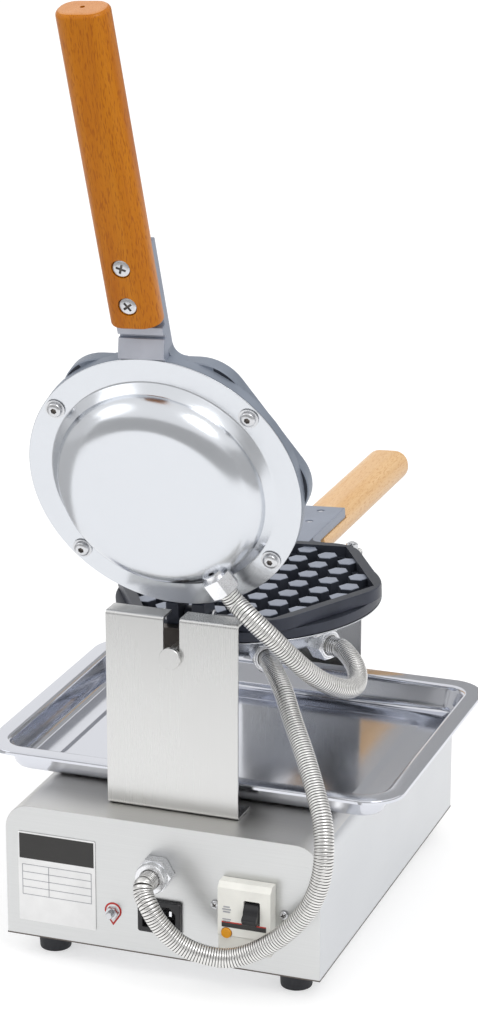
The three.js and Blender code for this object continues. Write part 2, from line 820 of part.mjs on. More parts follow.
function buildFrontPanel(group) {
  buildControl(group, 'thermostat', knobX, blackPlastic());
  buildControl(group, 'timer', -knobX, blackPlastic());
  const head = -casingBack - clearance;
  const lamps = [['lamp_green', -lampX, 0x2fae4a], ['lamp_amber', lampX, 0xf0a020]];
  for (const [name, x, color] of lamps) {
    addPiece(group, name, material(color, 0.2, 0), join(
      rodY(lampLensRadius, head - lampProud, head, x, lampZ),
      rodY(lampRadius, head - lampProud / 2, head + lampDepth, x, lampZ, smallSides),
    ));
  }
}

function buildTerminalBlock(group) {
  const bottom = casingBottom + casingSheet + clearance;
  const pitch = terminalWidth / terminalWays;
  const slots = [];
  for (let way = 0; way < terminalWays; way += 1) {
    const x = (way + 1 / 2) * pitch - terminalWidth / 2;
    slots.push(block(x - terminalSlotWidth / 2, x + terminalSlotWidth / 2,
      terminalY - terminalDepth / 2 - overrun, terminalY + terminalDepth / 2 + overrun,
      bottom + terminalHeight - terminalSlotDepth, bottom + terminalHeight + overrun));
  }
  addPiece(group, 'terminal_block', material(0xe9e4d2, 0.6, 0), cut(
    block(-terminalWidth / 2, terminalWidth / 2, terminalY - terminalDepth / 2, terminalY + terminalDepth / 2,
      bottom, bottom + terminalHeight),
    ...slots,
  ));
}

// Iron frame: origin on the parting plane at the plate's centre, z away from the other iron, +y to the hinge
function ironOutline() {
  const halfArc = halfTurn / hexSides - Math.acos(hexInradius / lobeRadius);
  const shape = new THREE.Shape();
  for (let corner = 0; corner < hexSides; corner += 1) {
    const angle = corner * fullTurn / hexSides;
    shape.absarc(0, 0, lobeRadius, angle - halfArc, angle + halfArc);
  }
  return shape;
}

function postPlaces(shares, whole) {
  const places = [];
  const last = shares.length - 1;
  for (let column = -last; column <= last; column += 1) {
    const share = shares[Math.abs(column)];
    const first = Math.abs(column) % 2 === 0 ? 0 : 0.5;
    if (whole) {
      for (let row = first; row <= share; row += 1) {
        places.push([column, row]);
        if (row > 0) {
          places.push([column, -row]);
        }
      }
    } else if (share > 0) {
      places.push([column, share], [column, -share]);
    }
  }
  return places;
}

function posts() {
  const places = [...postPlaces(columnPostShares, true), ...postPlaces(wallPostShares, false)];
  return places.map(([column, row]) => prismZ(
    hexagon(postRadius, column * postColumn, row * postPitch), postTop, cavityDepth + clearance));
}

function neck() {
  const rootY = -hexInradius + overrun;
  const grooveFloor = neckThickness - neckGrooveDepth;
  return prismX(outline([
    [rootY, matingGap],
    [rootY, ironThickness],
    [-discRadius - clearance, ironThickness],
    [-discRadius - clearance, neckTop],
    [-neckShoulder, neckShoulderThickness],
    [-neckGrooveStart + neckGroove, neckThickness],
    [-neckGrooveStart + neckGroove, grooveFloor],
    [-neckGrooveStart, grooveFloor],
    [-neckGrooveStart, neckThickness],
    [-neckStart, neckThickness],
    [-neckStart, tongueThickness],
    [-tongueTip, tongueThickness],
    [-tongueTip, matingGap],
  ]), -neckWidth / 2, neckWidth / 2);
}

function coverScrewPlaces() {
  const angle = radians(coverScrewAngle);
  const x = coverScrewCircle * Math.cos(angle);
  const y = coverScrewCircle * Math.sin(angle);
  return [[x, y], [-x, y], [-x, -y], [x, -y]];
}

function ironBody() {
  const hexCavity = prismZ(hexagon(cavityRadius), matingGap - overrun, cavityWall);
  const floorCavity = prismZ(hexagon(cavityFloorRadius), matingGap - overrun, cavityDepth);
  const plate = cut(
    join(
      prismZ(ironOutline(), matingGap, lobeDepth),
      rodZ(discRadius, lobeDepth - clearance, ironThickness, 0, 0, plateSides),
      neck(),
    ),
    hexCavity,
    floorCavity,
    ...[handleHoleNear, handleHoleFar].map((y) => rodZ(handleScrewRadius + clearance, matingGap - overrun,
      tongueThickness + overrun, 0, -y, smallSides)),
    ...coverScrewPlaces().map(([x, y]) => rodZ(coverScrewRadius + clearance, ironThickness - coverScrewDepth,
      ironThickness + overrun, x, y, smallSides)),
  );
  return join(plate, ...posts());
}

function knuckleY(halfWidthInner, halfWidthOuter, shape) {
  return bothX(1, (side) => {
    const ends = [side * halfWidthInner, side * halfWidthOuter].sort((a, b) => a - b);
    return prismX(shape, ends[0], ends[1]);
  });
}

// Two arms of the upper iron reach back to the hinge axis
function upperArms() {
  const rootY = discRadius + clearance;
  const armShape = outline([
    [hexInradius - overrun, matingGap + clearance],
    [hingeY, matingGap + clearance],
    [hingeY, hingeZ + armRadius],
    [rootY, armTopAtRim],
    [rootY, ironThickness],
    [hexInradius - overrun, ironThickness],
  ]);
  const arms = join(
    ...knuckleY(armInner, armOuter, armShape),
    ...bothX(1, (side) => {
      const ends = [side * armInner, side * armOuter].sort((a, b) => a - b);
      return rodX(armRadius, ends[0], ends[1], hingeY, hingeZ);
    }),
  );
  const reach = armOuter + overrun;
  return cut(arms, rodX(hingePinRadius + clearance, -reach, reach, hingeY, hingeZ, smallSides));
}

// Lug of the lower iron with the middle knuckle, in the lower iron's own frame
function lowerLug() {
  const lugNear = partingRise - lugTop;
  const lugEnd = stopWallFront - clearance - plateCentre;
  const half = armInner - 2 * clearance;
  const lug = block(-lugHalfWidth, lugHalfWidth, hexInradius - overrun, lugEnd, lugNear, ironThickness);
  const web = prismX(outline([
    [hingeY - 2 * knuckleRadius, lugNear + overrun],
    [hingeY - knuckleRadius, -hingeZ],
    [hingeY + knuckleRadius, -hingeZ],
    [hingeY + knuckleRadius, lugNear + overrun],
  ]), -half, half);
  return cut(
    join(lug, web, rodX(knuckleRadius, -half, half, hingeY, -hingeZ)),
    rodX(hingePinRadius + clearance, -half - overrun, half + overrun, hingeY, -hingeZ, smallSides),
    ...bothX(blockStudX, (x) => rodY(blockStudRadius + clearance, lugEnd - blockStudLength - clearance,
      lugEnd + overrun, x, partingRise + blockStudDrop, smallSides)),
  );
}

function buildCover(group, name) {
  const inner = domeRadius - coverSheet;
  const base = coverBase;
  const flangeTop = coverFlangeTop;
  const shoulderZ = domeShoulderZ;
  const shoulderRadius = domeRadius - domeDraft;
  const profile = [[0, coverTop]];
  for (let step = 0; step <= arcSegments; step += 1) {
    const angle = quarterTurn * (1 - step / arcSegments);
    profile.push([
      shoulderRadius - domeShoulder + domeShoulder * Math.cos(angle),
      shoulderZ + domeShoulder * Math.sin(angle),
    ]);
  }
  profile.push([domeRadius, flangeTop], [discRadius, flangeTop], [discRadius, base], [inner, base]);
  profile.push([shoulderRadius - coverSheet, shoulderZ]);
  for (let step = 1; step <= arcSegments; step += 1) {
    const angle = quarterTurn * step / arcSegments;
    const bend = domeShoulder - coverSheet;
    profile.push([
      shoulderRadius - domeShoulder + bend * Math.cos(angle),
      shoulderZ + bend * Math.sin(angle),
    ]);
  }
  profile.push([0, coverTop - coverSheet]);
  const angles = name === 'upper' ? [upperGlandAngle] : lowerGlandAngles();
  const cover = cut(
    latheZ(profile, plateSides),
    ...coverScrewPlaces().map(([x, y]) => rodZ(coverScrewRadius + clearance, base - overrun,
      flangeTop + overrun, x, y, smallSides)),
    ...angles.map((angle) => radialRod(glandSpigotRadius + clearance, glandNutStart - glandSpigotLength,
      glandNutStart, angle)),
  );
  addPiece(group, `${name}_cover`, polishedSteel(), cover);
  const washerBottom = flangeTop + clearance;
  const headBottom = washerBottom + washerThickness;
  const shankBottom = ironThickness - coverScrewDepth + clearance;
  coverScrewPlaces().forEach(([x, y], number) => {
    const screw = join(
      rodZ(washerRadius, washerBottom, headBottom + clearance, x, y),
      rodZ(coverScrewHeadRadius, headBottom, headBottom + coverScrewHeadHeight, x, y, smallSides),
      rodZ(coverScrewRadius, shankBottom, headBottom + clearance, x, y, smallSides),
    );
    addPiece(group, `${name}_cover_screw_${number + 1}`, plated(), screw);
  });
}

// The lower iron's frame is turned over, so its angles are measured from the other side
function lowerGlandAngles() {
  return [lowerGlandAngleShort, lowerGlandAngleLong].map((angle) => halfTurnDegrees - angle);
}

// Rod along a radius of the plate at the gland's depth
function radialRod(radius, from, to, angle, sides = smallSides) {
  const geometry = new THREE.CylinderGeometry(radius, radius, to - from, sides);
  geometry.rotateY(halfTurn / sides).rotateZ(-quarterTurn);
  geometry.translate((from + to) / 2, 0, glandDepth).rotateZ(radians(angle));
  return solid(geometry);
}

function coverGland(angle) {
  const nutEnd = glandNutStart + glandNutLength;
  const mouth = nutEnd + glandCollarLength;
  const body = join(
    radialRod(glandNutRadius, glandNutStart, nutEnd, angle, hexSides),
    radialRod(glandCollarRadius, nutEnd - clearance, mouth, angle, roundSides),
    radialRod(glandSpigotRadius, glandNutStart - glandSpigotLength, glandNutStart + clearance, angle),
  );
  return cut(
    body,
    radialRod(hoseRadius + clearance, glandNutStart + glandSeatWall, mouth + overrun, angle, roundSides),
    radialRod(glandBore, glandNutStart - glandSpigotLength - overrun, nutEnd, angle),
  );
}

function glandExit(frame, angle) {
  const seat = glandNutStart + glandSeatWall + clearance;
  const turn = radians(angle);
  frame.updateWorldMatrix(true, false);
  const point = new THREE.Vector3(seat * Math.cos(turn), seat * Math.sin(turn), glandDepth);
  const way = new THREE.Vector3(Math.cos(turn), Math.sin(turn), 0);
  return {
    point: point.applyMatrix4(frame.matrixWorld),
    way: way.transformDirection(frame.matrixWorld),
  };
}

function buildHeater(group, name) {
  const centreZ = ironThickness + clearance + heaterRadius;
  const gap = radians(heaterGapAngle) / 2;
  const steps = heaterSteps;
  const points = [];
  for (let step = 0; step <= steps; step += 1) {
    const angle = -quarterTurn + gap + (fullTurn - 2 * gap) * step / steps;
    points.push(new THREE.Vector3(heaterRing * Math.cos(angle), heaterRing * Math.sin(angle), centreZ));
  }
  const section = new THREE.Shape();
  section.absarc(0, 0, heaterRadius - clearance / 2, 0, fullTurn);
  const ring = new THREE.ExtrudeGeometry(section, {
    steps,
    curveSegments: arcSegments - 1,
    extrudePath: new THREE.CatmullRomCurve3(points),
  });
  addPiece(group, `${name}_heater`, material(0x6a6460, 0.5, 0.7), solid(ring));
  const padBottom = coverTop - coverSheet - clearance - padThickness;
  addPiece(group, `${name}_insulation`, material(0xe8e2cf, 0.95, 0),
    rodZ(padRadius, padBottom, padBottom + padThickness));
}

// Wooden grip: rounded bar with a seat cut over the tongue of the iron
function buildHandle(group, name, look) {
  const innerCorner = handleInnerCorner;
  const shape = new THREE.Shape();
  const half = handleHalfWidth;
  shape.absarc(half - innerCorner, handleFlat + innerCorner, innerCorner, -quarterTurn, 0);
  shape.absarc(half - handleCorner, handleThickness - handleCorner, handleCorner, 0, quarterTurn);
  shape.absarc(-half + handleCorner, handleThickness - handleCorner, handleCorner, quarterTurn, halfTurn);
  shape.absarc(-half + innerCorner, handleFlat + innerCorner, innerCorner, halfTurn, halfTurn + quarterTurn);
  const seat = block(-half - overrun, half + overrun, -tongueTip - clearance, -handleStart + overrun,
    handleFlat - overrun, tongueThickness + clearance);
  const chamfer = bothX(1, (side) => prismZ(outline([
    [side * (half - handleEndChamfer), -handleEnd - overrun],
    [side * (half - handleEndChamfer), -handleEnd],
    [side * half, -handleEnd + handleEndChamfer],
    [side * (half + overrun), -handleEnd + handleEndChamfer],
    [side * (half + overrun), -handleEnd - overrun],
  ]), handleFlat - overrun, handleThickness + overrun));
  const topChamfer = prismX(outline([
    [-handleEnd - overrun, handleThickness - handleEndChamfer],
    [-handleEnd, handleThickness - handleEndChamfer],
    [-handleEnd + handleEndChamfer, handleThickness],
    [-handleEnd + handleEndChamfer, handleThickness + overrun],
    [-handleEnd - overrun, handleThickness + overrun],
  ]), -half - overrun, half + overrun);
  const cupFloor = handleThickness - handleCupDepth;
  const stations = [handleHoleNear, handleHoleFar];
  const wood = cut(
    prismY(shape, -handleEnd, -handleStart),
    seat,
    ...chamfer,
    topChamfer,
    ...stations.map((y) => rodZ(handleScrewCup, cupFloor, handleThickness + overrun, 0, -y)),
    ...stations.map((y) => rodZ(handleScrewRadius + clearance, 0, handleThickness, 0, -y, smallSides)),
  );
  addPiece(group, `${name}_handle`, look, wood);
  stations.forEach((y, number) => addPiece(group, `${name}_handle_screw_${number + 1}`, plated(), join(
    rodZ(handleScrewHeadRadius, cupFloor + clearance, cupFloor + clearance + handleScrewHeadHeight, 0, -y),
    rodZ(handleScrewRadius, matingGap + clearance, cupFloor + 2 * clearance, 0, -y, smallSides),
  )));
}

function buildPivot(group) {
  const near = stopWallFront;
  const far = stopWallFront + pivotBlockThickness;
  const bottom = partingRise - ironThickness;
  addPiece(group, 'pivot_block', material(0x5b524c, 0.45, 0.8), join(
    cut(
      block(-lugHalfWidth, lugHalfWidth, near, far, bottom, stopWallTop),
      rodY(pivotThreadRadius + clearance, near - overrun, far + overrun),
    ),
    ...bothX(blockStudX, (x) => rodY(blockStudRadius, near - clearance - blockStudLength, far - clearance,
      x, -blockStudDrop, smallSides)),
  ));
  const headStart = rearBracketFace + clearance;
  addPiece(group, 'pivot_pin', plated(), join(
    rodY(pivotHeadRadius, headStart, headStart + pivotHeadThickness),
    rodY(pivotPinRadius, far + clearance, headStart + clearance),
    rodY(pivotThreadRadius, near + clearance, far + 2 * clearance),
  ));
  const headEnd = -armOuter - clearance;
  const nutStart = armOuter + clearance;
  const tail = nutStart + hingeNutThickness + hingePinTail;
  addPiece(group, 'hinge_pin', plated(), join(
    rodX(hingeHeadRadius, headEnd - hingeHeadThickness, headEnd, hingeBack, hingeRise, smallSides),
    rodX(hingePinRadius, headEnd - hingeHeadThickness / 2, tail, hingeBack, hingeRise, smallSides),
  ));
  const nut = cut(
    prismX(hexagon(hingeNutRadius, hingeBack, hingeRise), nutStart, nutStart + hingeNutThickness),
    rodX(hingePinRadius + clearance, nutStart - overrun, nutStart + hingeNutThickness + overrun,
      hingeBack, hingeRise, smallSides),
  );
  addPiece(group, 'hinge_nut', plated(), nut);
}

function buildIron(frame, name, wood) {
  const lower = name === 'lower';
  addPiece(frame, `${name}_iron`, castIron(), join(ironBody(), lower ? lowerLug() : upperArms()));
  buildCover(frame, name);
  buildHeater(frame, name);
  buildHandle(frame, name, wood);
  const glands = lower ? lowerGlandAngles() : [upperGlandAngle];
  glands.forEach((angle, number) => {
    const glandName = lower ? `lower_gland_${number + 1}` : 'upper_gland';
    addPiece(frame, glandName, plated(), coverGland(angle));
  });
}

function buildBulb(frame) {
  const centreZ = ironThickness + clearance + bulbRadius;
  addPiece(frame, 'thermostat_bulb', material(0xb87a4a, 0.35, 0.9),
    rodX(bulbRadius, -bulbHalfLength, bulbHalfLength, bulbOffset, centreZ, smallSides));
}

// Ribbed steel conduit: ribs outside, a plain bore inside, ends cut square
function ribbedHose(route) {
  const curve = new THREE.CatmullRomCurve3(route, false, 'centripetal');
  const length = curve.getLength();
  const ribs = ribsPerBoreRing * Math.round(length / ribPitch / ribsPerBoreRing);
  const rings = 2 * ribs;
  const frames = curve.computeFrenetFrames(rings);
  const place = [];
  const middles = [];
  const pushRing = (ring, radius) => {
    const middle = curve.getPointAt(ring / rings);
    for (let point = 0; point < ribRingPoints; point += 1) {
      const angle = point * fullTurn / ribRingPoints;
      const spoke = frames.normals[ring].clone().multiplyScalar(Math.cos(angle));
      spoke.addScaledVector(frames.binormals[ring], Math.sin(angle));
      place.push(...middle.clone().addScaledVector(spoke, radius).toArray());
    }
    return middle;
  };
  for (let ring = 0; ring <= rings; ring += 1) {
    middles.push(pushRing(ring, ring % 2 === 0 ? hoseRootRadius : hoseRadius));
  }
  const boreRings = ribs / ribsPerBoreRing;
  for (let ring = 0; ring <= boreRings; ring += 1) {
    pushRing(ring * 2 * ribsPerBoreRing, hoseBore);
  }
  const index = [];
  const quad = (ringA, ringB, outward) => {
    for (let point = 0; point < ribRingPoints; point += 1) {
      const next = (point + 1) % ribRingPoints;
      const a = ringA * ribRingPoints + point;
      const b = ringA * ribRingPoints + next;
      const c = ringB * ribRingPoints + point;
      const d = ringB * ribRingPoints + next;
      index.push(...(outward ? [a, b, c, b, d, c] : [a, c, b, b, c, d]));
    }
  };
  for (let ring = 0; ring < rings; ring += 1) {
    quad(ring, ring + 1, true);
  }
  const firstBore = rings + 1;
  for (let ring = 0; ring < boreRings; ring += 1) {
    quad(firstBore + ring, firstBore + ring + 1, false);
  }
  quad(0, firstBore, false);
  quad(rings, firstBore + boreRings, true);
  const geometry = new THREE.BufferGeometry();
  geometry.setAttribute('position', new THREE.Float32BufferAttribute(place, 3));
  geometry.setIndex(index);
  const apart = Math.ceil(4 * hoseRadius / (length / rings));
  let gap = Infinity;
  for (let i = 0; i < middles.length; i += 1) {
    for (let j = i + apart; j < middles.length; j += 1) {
      gap = Math.min(gap, middles[i].distanceTo(middles[j]) - 2 * hoseRadius);
    }
  }
  console.log(`ribs ${ribs}, least gap to itself ${gap.toFixed(1)}`);
  return geometry;
}

// Smooth steel hose: a round tube along the route, ends cut square
function smoothHose(route) {
  const curve = new THREE.CatmullRomCurve3(route, false, 'centripetal');
  const section = new THREE.Shape();
  section.absarc(0, 0, hoseRadius, 0, fullTurn);
  return new THREE.ExtrudeGeometry(section, {
    steps: Math.round(curve.getLength() / plainHoseStep),
    curveSegments: plainHoseSides / 2,
    bevelEnabled: false,
    extrudePath: curve,
  });
}

// Route points between the two glands, chosen by eye
const baseRoute = [
  [0.5, 187, 77], [-5, 191, 70], [-13, 191, 58], [-26, 188, 45], [-42, 184, 38], [-58, 180, 36.5],
  [-74, 177, 42.5], [-89, 176, 53], [-103, 175, 67], [-113, 174, 82], [-119, 172.5, 100], [-120, 169, 118],
  [-115.5, 159, 135], [-105, 144, 151], [-92, 127, 167], [-77, 108, 182.5], [-64, 90.5, 196],
];
const ironRoute = [
  [-97, 36.5, 200.5], [-103, 47, 196.5], [-106, 60, 194.5], [-105, 75, 197], [-100, 89, 203],
  [-94, 100, 210.5], [-88, 109, 219], [-82, 116, 228], [-75, 121, 237], [-68, 124.5, 245.5],
  [-60.5, 126.5, 253], [-51.5, 127, 261],
];

function buildHose(group, name, form, start, middle, end) {
  const straight = 2 * hoseRadius;
  const lead = straight + hoseRadius / 2;
  const route = [
    start.point,
    start.point.clone().addScaledVector(start.way, straight),
    start.point.clone().addScaledVector(start.way, lead),
    ...middle.map((point) => new THREE.Vector3(...point)),
    end.point.clone().addScaledVector(end.way, lead),
    end.point.clone().addScaledVector(end.way, straight),
    end.point,
  ];
  const length = new THREE.CatmullRomCurve3(route, false, 'centripetal').getLength();
  console.log(`${name}: length ${length.toFixed(1)}`);
  const piece = new THREE.Mesh(form(route), plated());
  piece.name = name;
  group.add(piece);
}

const maker = new THREE.Group();
const base = new THREE.Group();
maker.add(base);
buildCasing(base);
buildFeet(base);
buildTray(base);
buildBrackets(base);
buildCradle(base);
buildInlet(base);
buildBreaker(base);
buildPanelPieces(base);
const baseExit = buildBaseGland(base);
buildFrontPanel(base);
buildBreakerScrews(base);
buildTerminalBlock(base);

const ironPair = new THREE.Group();
ironPair.position.set(0, 0, pivotHeight);
ironPair.rotation.y = radians(rockAngle);
maker.add(ironPair);
buildPivot(ironPair);

const lowerFrame = new THREE.Group();
lowerFrame.position.set(0, plateCentre, partingRise);
lowerFrame.rotation.y = halfTurn;
ironPair.add(lowerFrame);
buildIron(lowerFrame, 'lower', material(0xeac79a, 0.55, 0));
buildBulb(lowerFrame);

const upperHinge = new THREE.Group();
upperHinge.position.set(0, hingeBack, hingeRise);
upperHinge.rotation.x = -radians(openAngle);
ironPair.add(upperHinge);
const upperFrame = new THREE.Group();
upperFrame.position.set(0, plateCentre - hingeBack, partingRise - hingeRise);
upperHinge.add(upperFrame);
buildIron(upperFrame, 'upper', material(0xb8692a, 0.4, 0));

// The part stands on its own origin: the middle of its box, without the conduits
maker.updateMatrixWorld(true);
const extent = new THREE.Box3().setFromObject(maker, true);
const middle = extent.getCenter(new THREE.Vector3());
const [shortExit, longExit] = lowerGlandAngles().map((angle) => glandExit(lowerFrame, angle));
buildHose(base, 'conduit_base', smoothHose, baseExit, baseRoute, longExit);
buildHose(base, 'conduit_irons', ribbedHose, shortExit, ironRoute, glandExit(upperFrame, upperGlandAngle));
maker.position.set(-middle.x, -middle.y, 0);

export default maker;
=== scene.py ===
"""Rotating honeycomb waffle maker, seen from behind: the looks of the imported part.

Lengths are metres. A piece is drawn in the frame of what carries it and then put in its place:
BASE for the casing, PAIR for the turning pair, LOWER and UPPER for the two irons.
"""

import json
import math

import bmesh
import bpy
from mathutils import Matrix, Vector


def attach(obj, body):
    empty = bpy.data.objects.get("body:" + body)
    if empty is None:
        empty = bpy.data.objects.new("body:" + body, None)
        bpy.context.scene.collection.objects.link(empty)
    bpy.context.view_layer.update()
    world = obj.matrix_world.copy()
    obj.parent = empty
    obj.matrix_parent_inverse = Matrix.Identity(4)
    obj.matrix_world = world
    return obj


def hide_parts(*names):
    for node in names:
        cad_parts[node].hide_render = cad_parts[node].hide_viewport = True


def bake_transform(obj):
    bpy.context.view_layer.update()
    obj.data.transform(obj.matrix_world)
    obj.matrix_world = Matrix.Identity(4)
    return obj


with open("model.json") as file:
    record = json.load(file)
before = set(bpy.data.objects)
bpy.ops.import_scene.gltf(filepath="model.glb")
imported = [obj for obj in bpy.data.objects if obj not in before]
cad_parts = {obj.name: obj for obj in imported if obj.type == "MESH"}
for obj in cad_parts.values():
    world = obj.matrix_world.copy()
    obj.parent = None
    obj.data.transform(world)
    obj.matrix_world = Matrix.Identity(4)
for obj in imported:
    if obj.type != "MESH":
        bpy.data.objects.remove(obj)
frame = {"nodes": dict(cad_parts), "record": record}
NODES = frame["nodes"]
RECORD = frame["record"]
BODY_OF = {node: body for body, nodes in RECORD["behaviour"]["bodies"].items() for node in nodes}
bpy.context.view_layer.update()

QUARTER = math.pi / 2
HALF_TURN = math.pi
FULL = 2 * math.pi
ROUND = [QUARTER * step / 6 for step in range(7)]
CORNERS = ((1, 1), (-1, 1), (-1, -1), (1, -1))


def shift(x, y, z):
    return Matrix.Translation((x, y, z))


def spin(angle, axis):
    return Matrix.Rotation(angle, 4, axis)


# Places of the frames

ROOT_SHIFT = 0.063551
PIVOT_HEIGHT = 0.227
ROCK_ANGLE = math.radians(2.85)
PLATE_CENTRE = -0.0185
PARTING_RISE = 0.00735
HINGE_BACK = 0.0918
HINGE_RISE = 0.01594
OPEN_ANGLE = math.radians(105.8)

BASE = shift(0, ROOT_SHIFT, 0)
PAIR = BASE @ shift(0, 0, PIVOT_HEIGHT) @ spin(ROCK_ANGLE, "Y")
LOWER = PAIR @ shift(0, PLATE_CENTRE, PARTING_RISE) @ spin(HALF_TURN, "Y")
UPPER = (PAIR @ shift(0, HINGE_BACK, HINGE_RISE) @ spin(-OPEN_ANGLE, "X")
         @ shift(0, PLATE_CENTRE - HINGE_BACK, PARTING_RISE - HINGE_RISE))

# Camera at the photograph's place

CAMERA_PLACE = Vector((-0.6967, 1.99145, 0.9508))
CAMERA_YAW = math.radians(19.88)
CAMERA_DIP = math.radians(17.87)
FOCAL_PIXELS = 3073.6
LONG_SIDE_PIXELS = 1020
SENSOR = 36


def make_camera():
    level = math.cos(CAMERA_DIP)
    ahead = Vector((math.sin(CAMERA_YAW) * level, -math.cos(CAMERA_YAW) * level, -math.sin(CAMERA_DIP)))
    right = ahead.cross(Vector((0, 0, 1))).normalized()
    data = bpy.data.cameras.new("camera")
    data.sensor_width = SENSOR
    data.lens = SENSOR * FOCAL_PIXELS / LONG_SIDE_PIXELS
    camera = bpy.data.objects.new("camera", data)
    turn = Matrix((right, right.cross(ahead), -ahead)).transposed().to_4x4()
    camera.matrix_world = Matrix.Translation(CAMERA_PLACE) @ turn
    bpy.context.scene.collection.objects.link(camera)
    bpy.context.scene.camera = camera


make_camera()


# Materials


def linear(shades):
    """Screen values from 0 to 255 as a shader's linear colour."""
    shares = [value / 255 for value in shades]
    return tuple(s / 12.92 if s <= 0.04045 else ((s + 0.055) / 1.055) ** 2.4 for s in shares) + (1.0,)


def shaded(colour, share):
    return tuple(share * value for value in colour[:3]) + (1.0,)


def feed(node, inputs):
    """Sets the node's inputs to plain values, or links them to sockets."""
    for name, value in inputs.items():
        if isinstance(value, bpy.types.NodeSocket):
            node.id_data.links.new(value, node.inputs[name])
        else:
            node.inputs[name].default_value = value


def add_node(nodes, kind, output, inputs, **settings):
    node = nodes.new("ShaderNode" + kind)
    for name, value in settings.items():
        setattr(node, name, value)
    feed(node, inputs)
    return node.outputs[output]


def new_material(name, **inputs):
    material = bpy.data.materials.new(name)
    material.use_nodes = True
    feed(material.node_tree.nodes["Principled BSDF"], inputs)
    return material


class Look:
    """A node material that is built up step by step."""

    def __init__(self, name, colour, roughness, **more):
        self.material = new_material(name, **{"Base Color": colour, "Roughness": roughness, **more})
        self.material.diffuse_color = colour
        self.nodes = self.material.node_tree.nodes
        self.place = self.add("TexCoord", "Object", {})

    def add(self, *node, **settings):
        return add_node(self.nodes, *node, **settings)

    def noise(self, scale, stretch=(1, 1, 1), detail=3.0, turn=(0, 0, 0), distortion=0.0, rough=0.5):
        """Noise in object coordinates that are turned and then stretched along their axes."""
        shares = [1 / share for share in stretch]
        place = self.add("Mapping", "Vector", {"Scale": shares, "Rotation": turn, "Vector": self.place},
                         vector_type="TEXTURE")
        return self.add("TexNoise", "Fac", {
            "Scale": scale, "Detail": detail, "Roughness": rough, "Distortion": distortion, "Vector": place})

    def ramp(self, value, *stops):
        node = self.nodes.new("ShaderNodeValToRGB")
        elements = node.color_ramp.elements
        while len(elements) < len(stops):
            elements.new(1.0)
        for element, (position, colour) in zip(elements, stops):
            element.position = position
            element.color = colour
        feed(node, {"Fac": value})
        return node.outputs["Color"]

    def spread(self, value, low=0.0, high=1.0, start=0.3, end=0.7):
        """The value carried from start..end to low..high."""
        return self.add("MapRange", "Result", {
            "From Min": start, "From Max": end, "To Min": low, "To Max": high, "Value": value})

    def mix(self, factor, first, second):
        """Colour mix, whose sockets share their names with others and so go by number."""
        return self.add("Mix", 2, {0: factor, 6: first, 7: second}, data_type="RGBA")

    def finish(self, height, strength, distance, roughness, colour=None):
        """Links the roughness, the colour if one is given, and a bump from the height."""
        normal = self.add("Bump", "Normal", {"Strength": strength, "Distance": distance, "Height": height})
        tint = {} if colour is None else {"Base Color": colour}
        feed(self.nodes["Principled BSDF"], {"Roughness": roughness, "Normal": normal, **tint})
        return self.material


def brushed(name, stretch, colour, roughness, depth=0.03, shade=0.95):
    """Sheet steel with a fine brushed grain along the axis whose stretch is small."""
    colour = linear(colour)
    look = Look(name, colour, roughness[0], Metallic=1.0)
    grain = look.noise(1.0, stretch, detail=4.0, rough=0.6)
    rough = look.spread(look.mix(0.5, grain, look.noise(16.0)), *roughness)
    tint = look.mix(look.spread(grain), shaded(colour, shade), colour)
    return look.finish(grain, depth, 0.00003, rough, tint)


def polished(name, colour, roughness, stretch=(1, 1, 1)):
    """Bright pressed steel with faint polishing marks and a slight waviness."""
    look = Look(name, linear(colour), roughness[0], Metallic=1.0)
    marks = look.noise(160.0, stretch, detail=5.0, rough=0.65)
    wave = look.noise(11.0, detail=1.0)
    return look.finish(wave, 0.12, 0.0007, look.spread(look.mix(0.5, marks, wave), *roughness))


def plated(name, colour, roughness):
    """Plated turned metal with small handling marks."""
    colour = linear(colour)
    look = Look(name, colour, roughness[0], Metallic=1.0)
    marks = look.noise(420.0, detail=4.0, rough=0.6)
    tint = look.mix(look.spread(look.noise(90.0)), shaded(colour, 0.88), colour)
    return look.finish(marks, 0.06, 0.00008, look.spread(marks, *roughness), tint)


def coated_iron(name, colour, worn, roughness, metallic=0.15):
    """Cast iron under a satin non-stick coat: fine cast grain and a worn cloudiness."""
    colour = linear(colour)
    look = Look(name, colour, roughness[0], Metallic=metallic)
    grain = look.noise(900.0, rough=0.6)
    cloud = look.noise(38.0)
    rough = look.spread(look.mix(0.4, cloud, grain), *roughness)
    return look.finish(grain, 0.16, 0.0001, rough, look.mix(look.spread(cloud), colour, linear(worn)))


def beech(name, angle, coat, *colours):
    """Varnished beech with its grain along the handle: streaks, rings and short ray flecks."""
    dark, middle, light, fleck = (linear(colour) for colour in colours)
    turn = (angle, 0, 0)
    more = {"Coat Weight": coat, "Coat Roughness": 0.12, "Specular IOR Level": 0.25}
    look = Look(name, middle, 0.35, **more)
    rings = look.noise(70.0, (1.0, 0.045, 1.0), detail=4.0, turn=turn, distortion=0.8, rough=0.62)
    fine = look.noise(900.0, (1.0, 0.02, 1.0), turn=turn, rough=0.65)
    flecks = look.noise(1500.0, (1.0, 0.12, 0.8), detail=1.0, turn=turn)
    base = look.ramp(rings, (0.25, dark), (0.5, middle), (0.8, light))
    streaked = look.mix(look.spread(fine, 0.0, 0.4, 0.52, 0.75), base, dark)
    tint = look.mix(look.spread(flecks, 0.0, 0.75, 0.54, 0.66), streaked, fleck)
    return look.finish(fine, 0.08, 0.00012, look.spread(fine, 0.28, 0.42), tint)


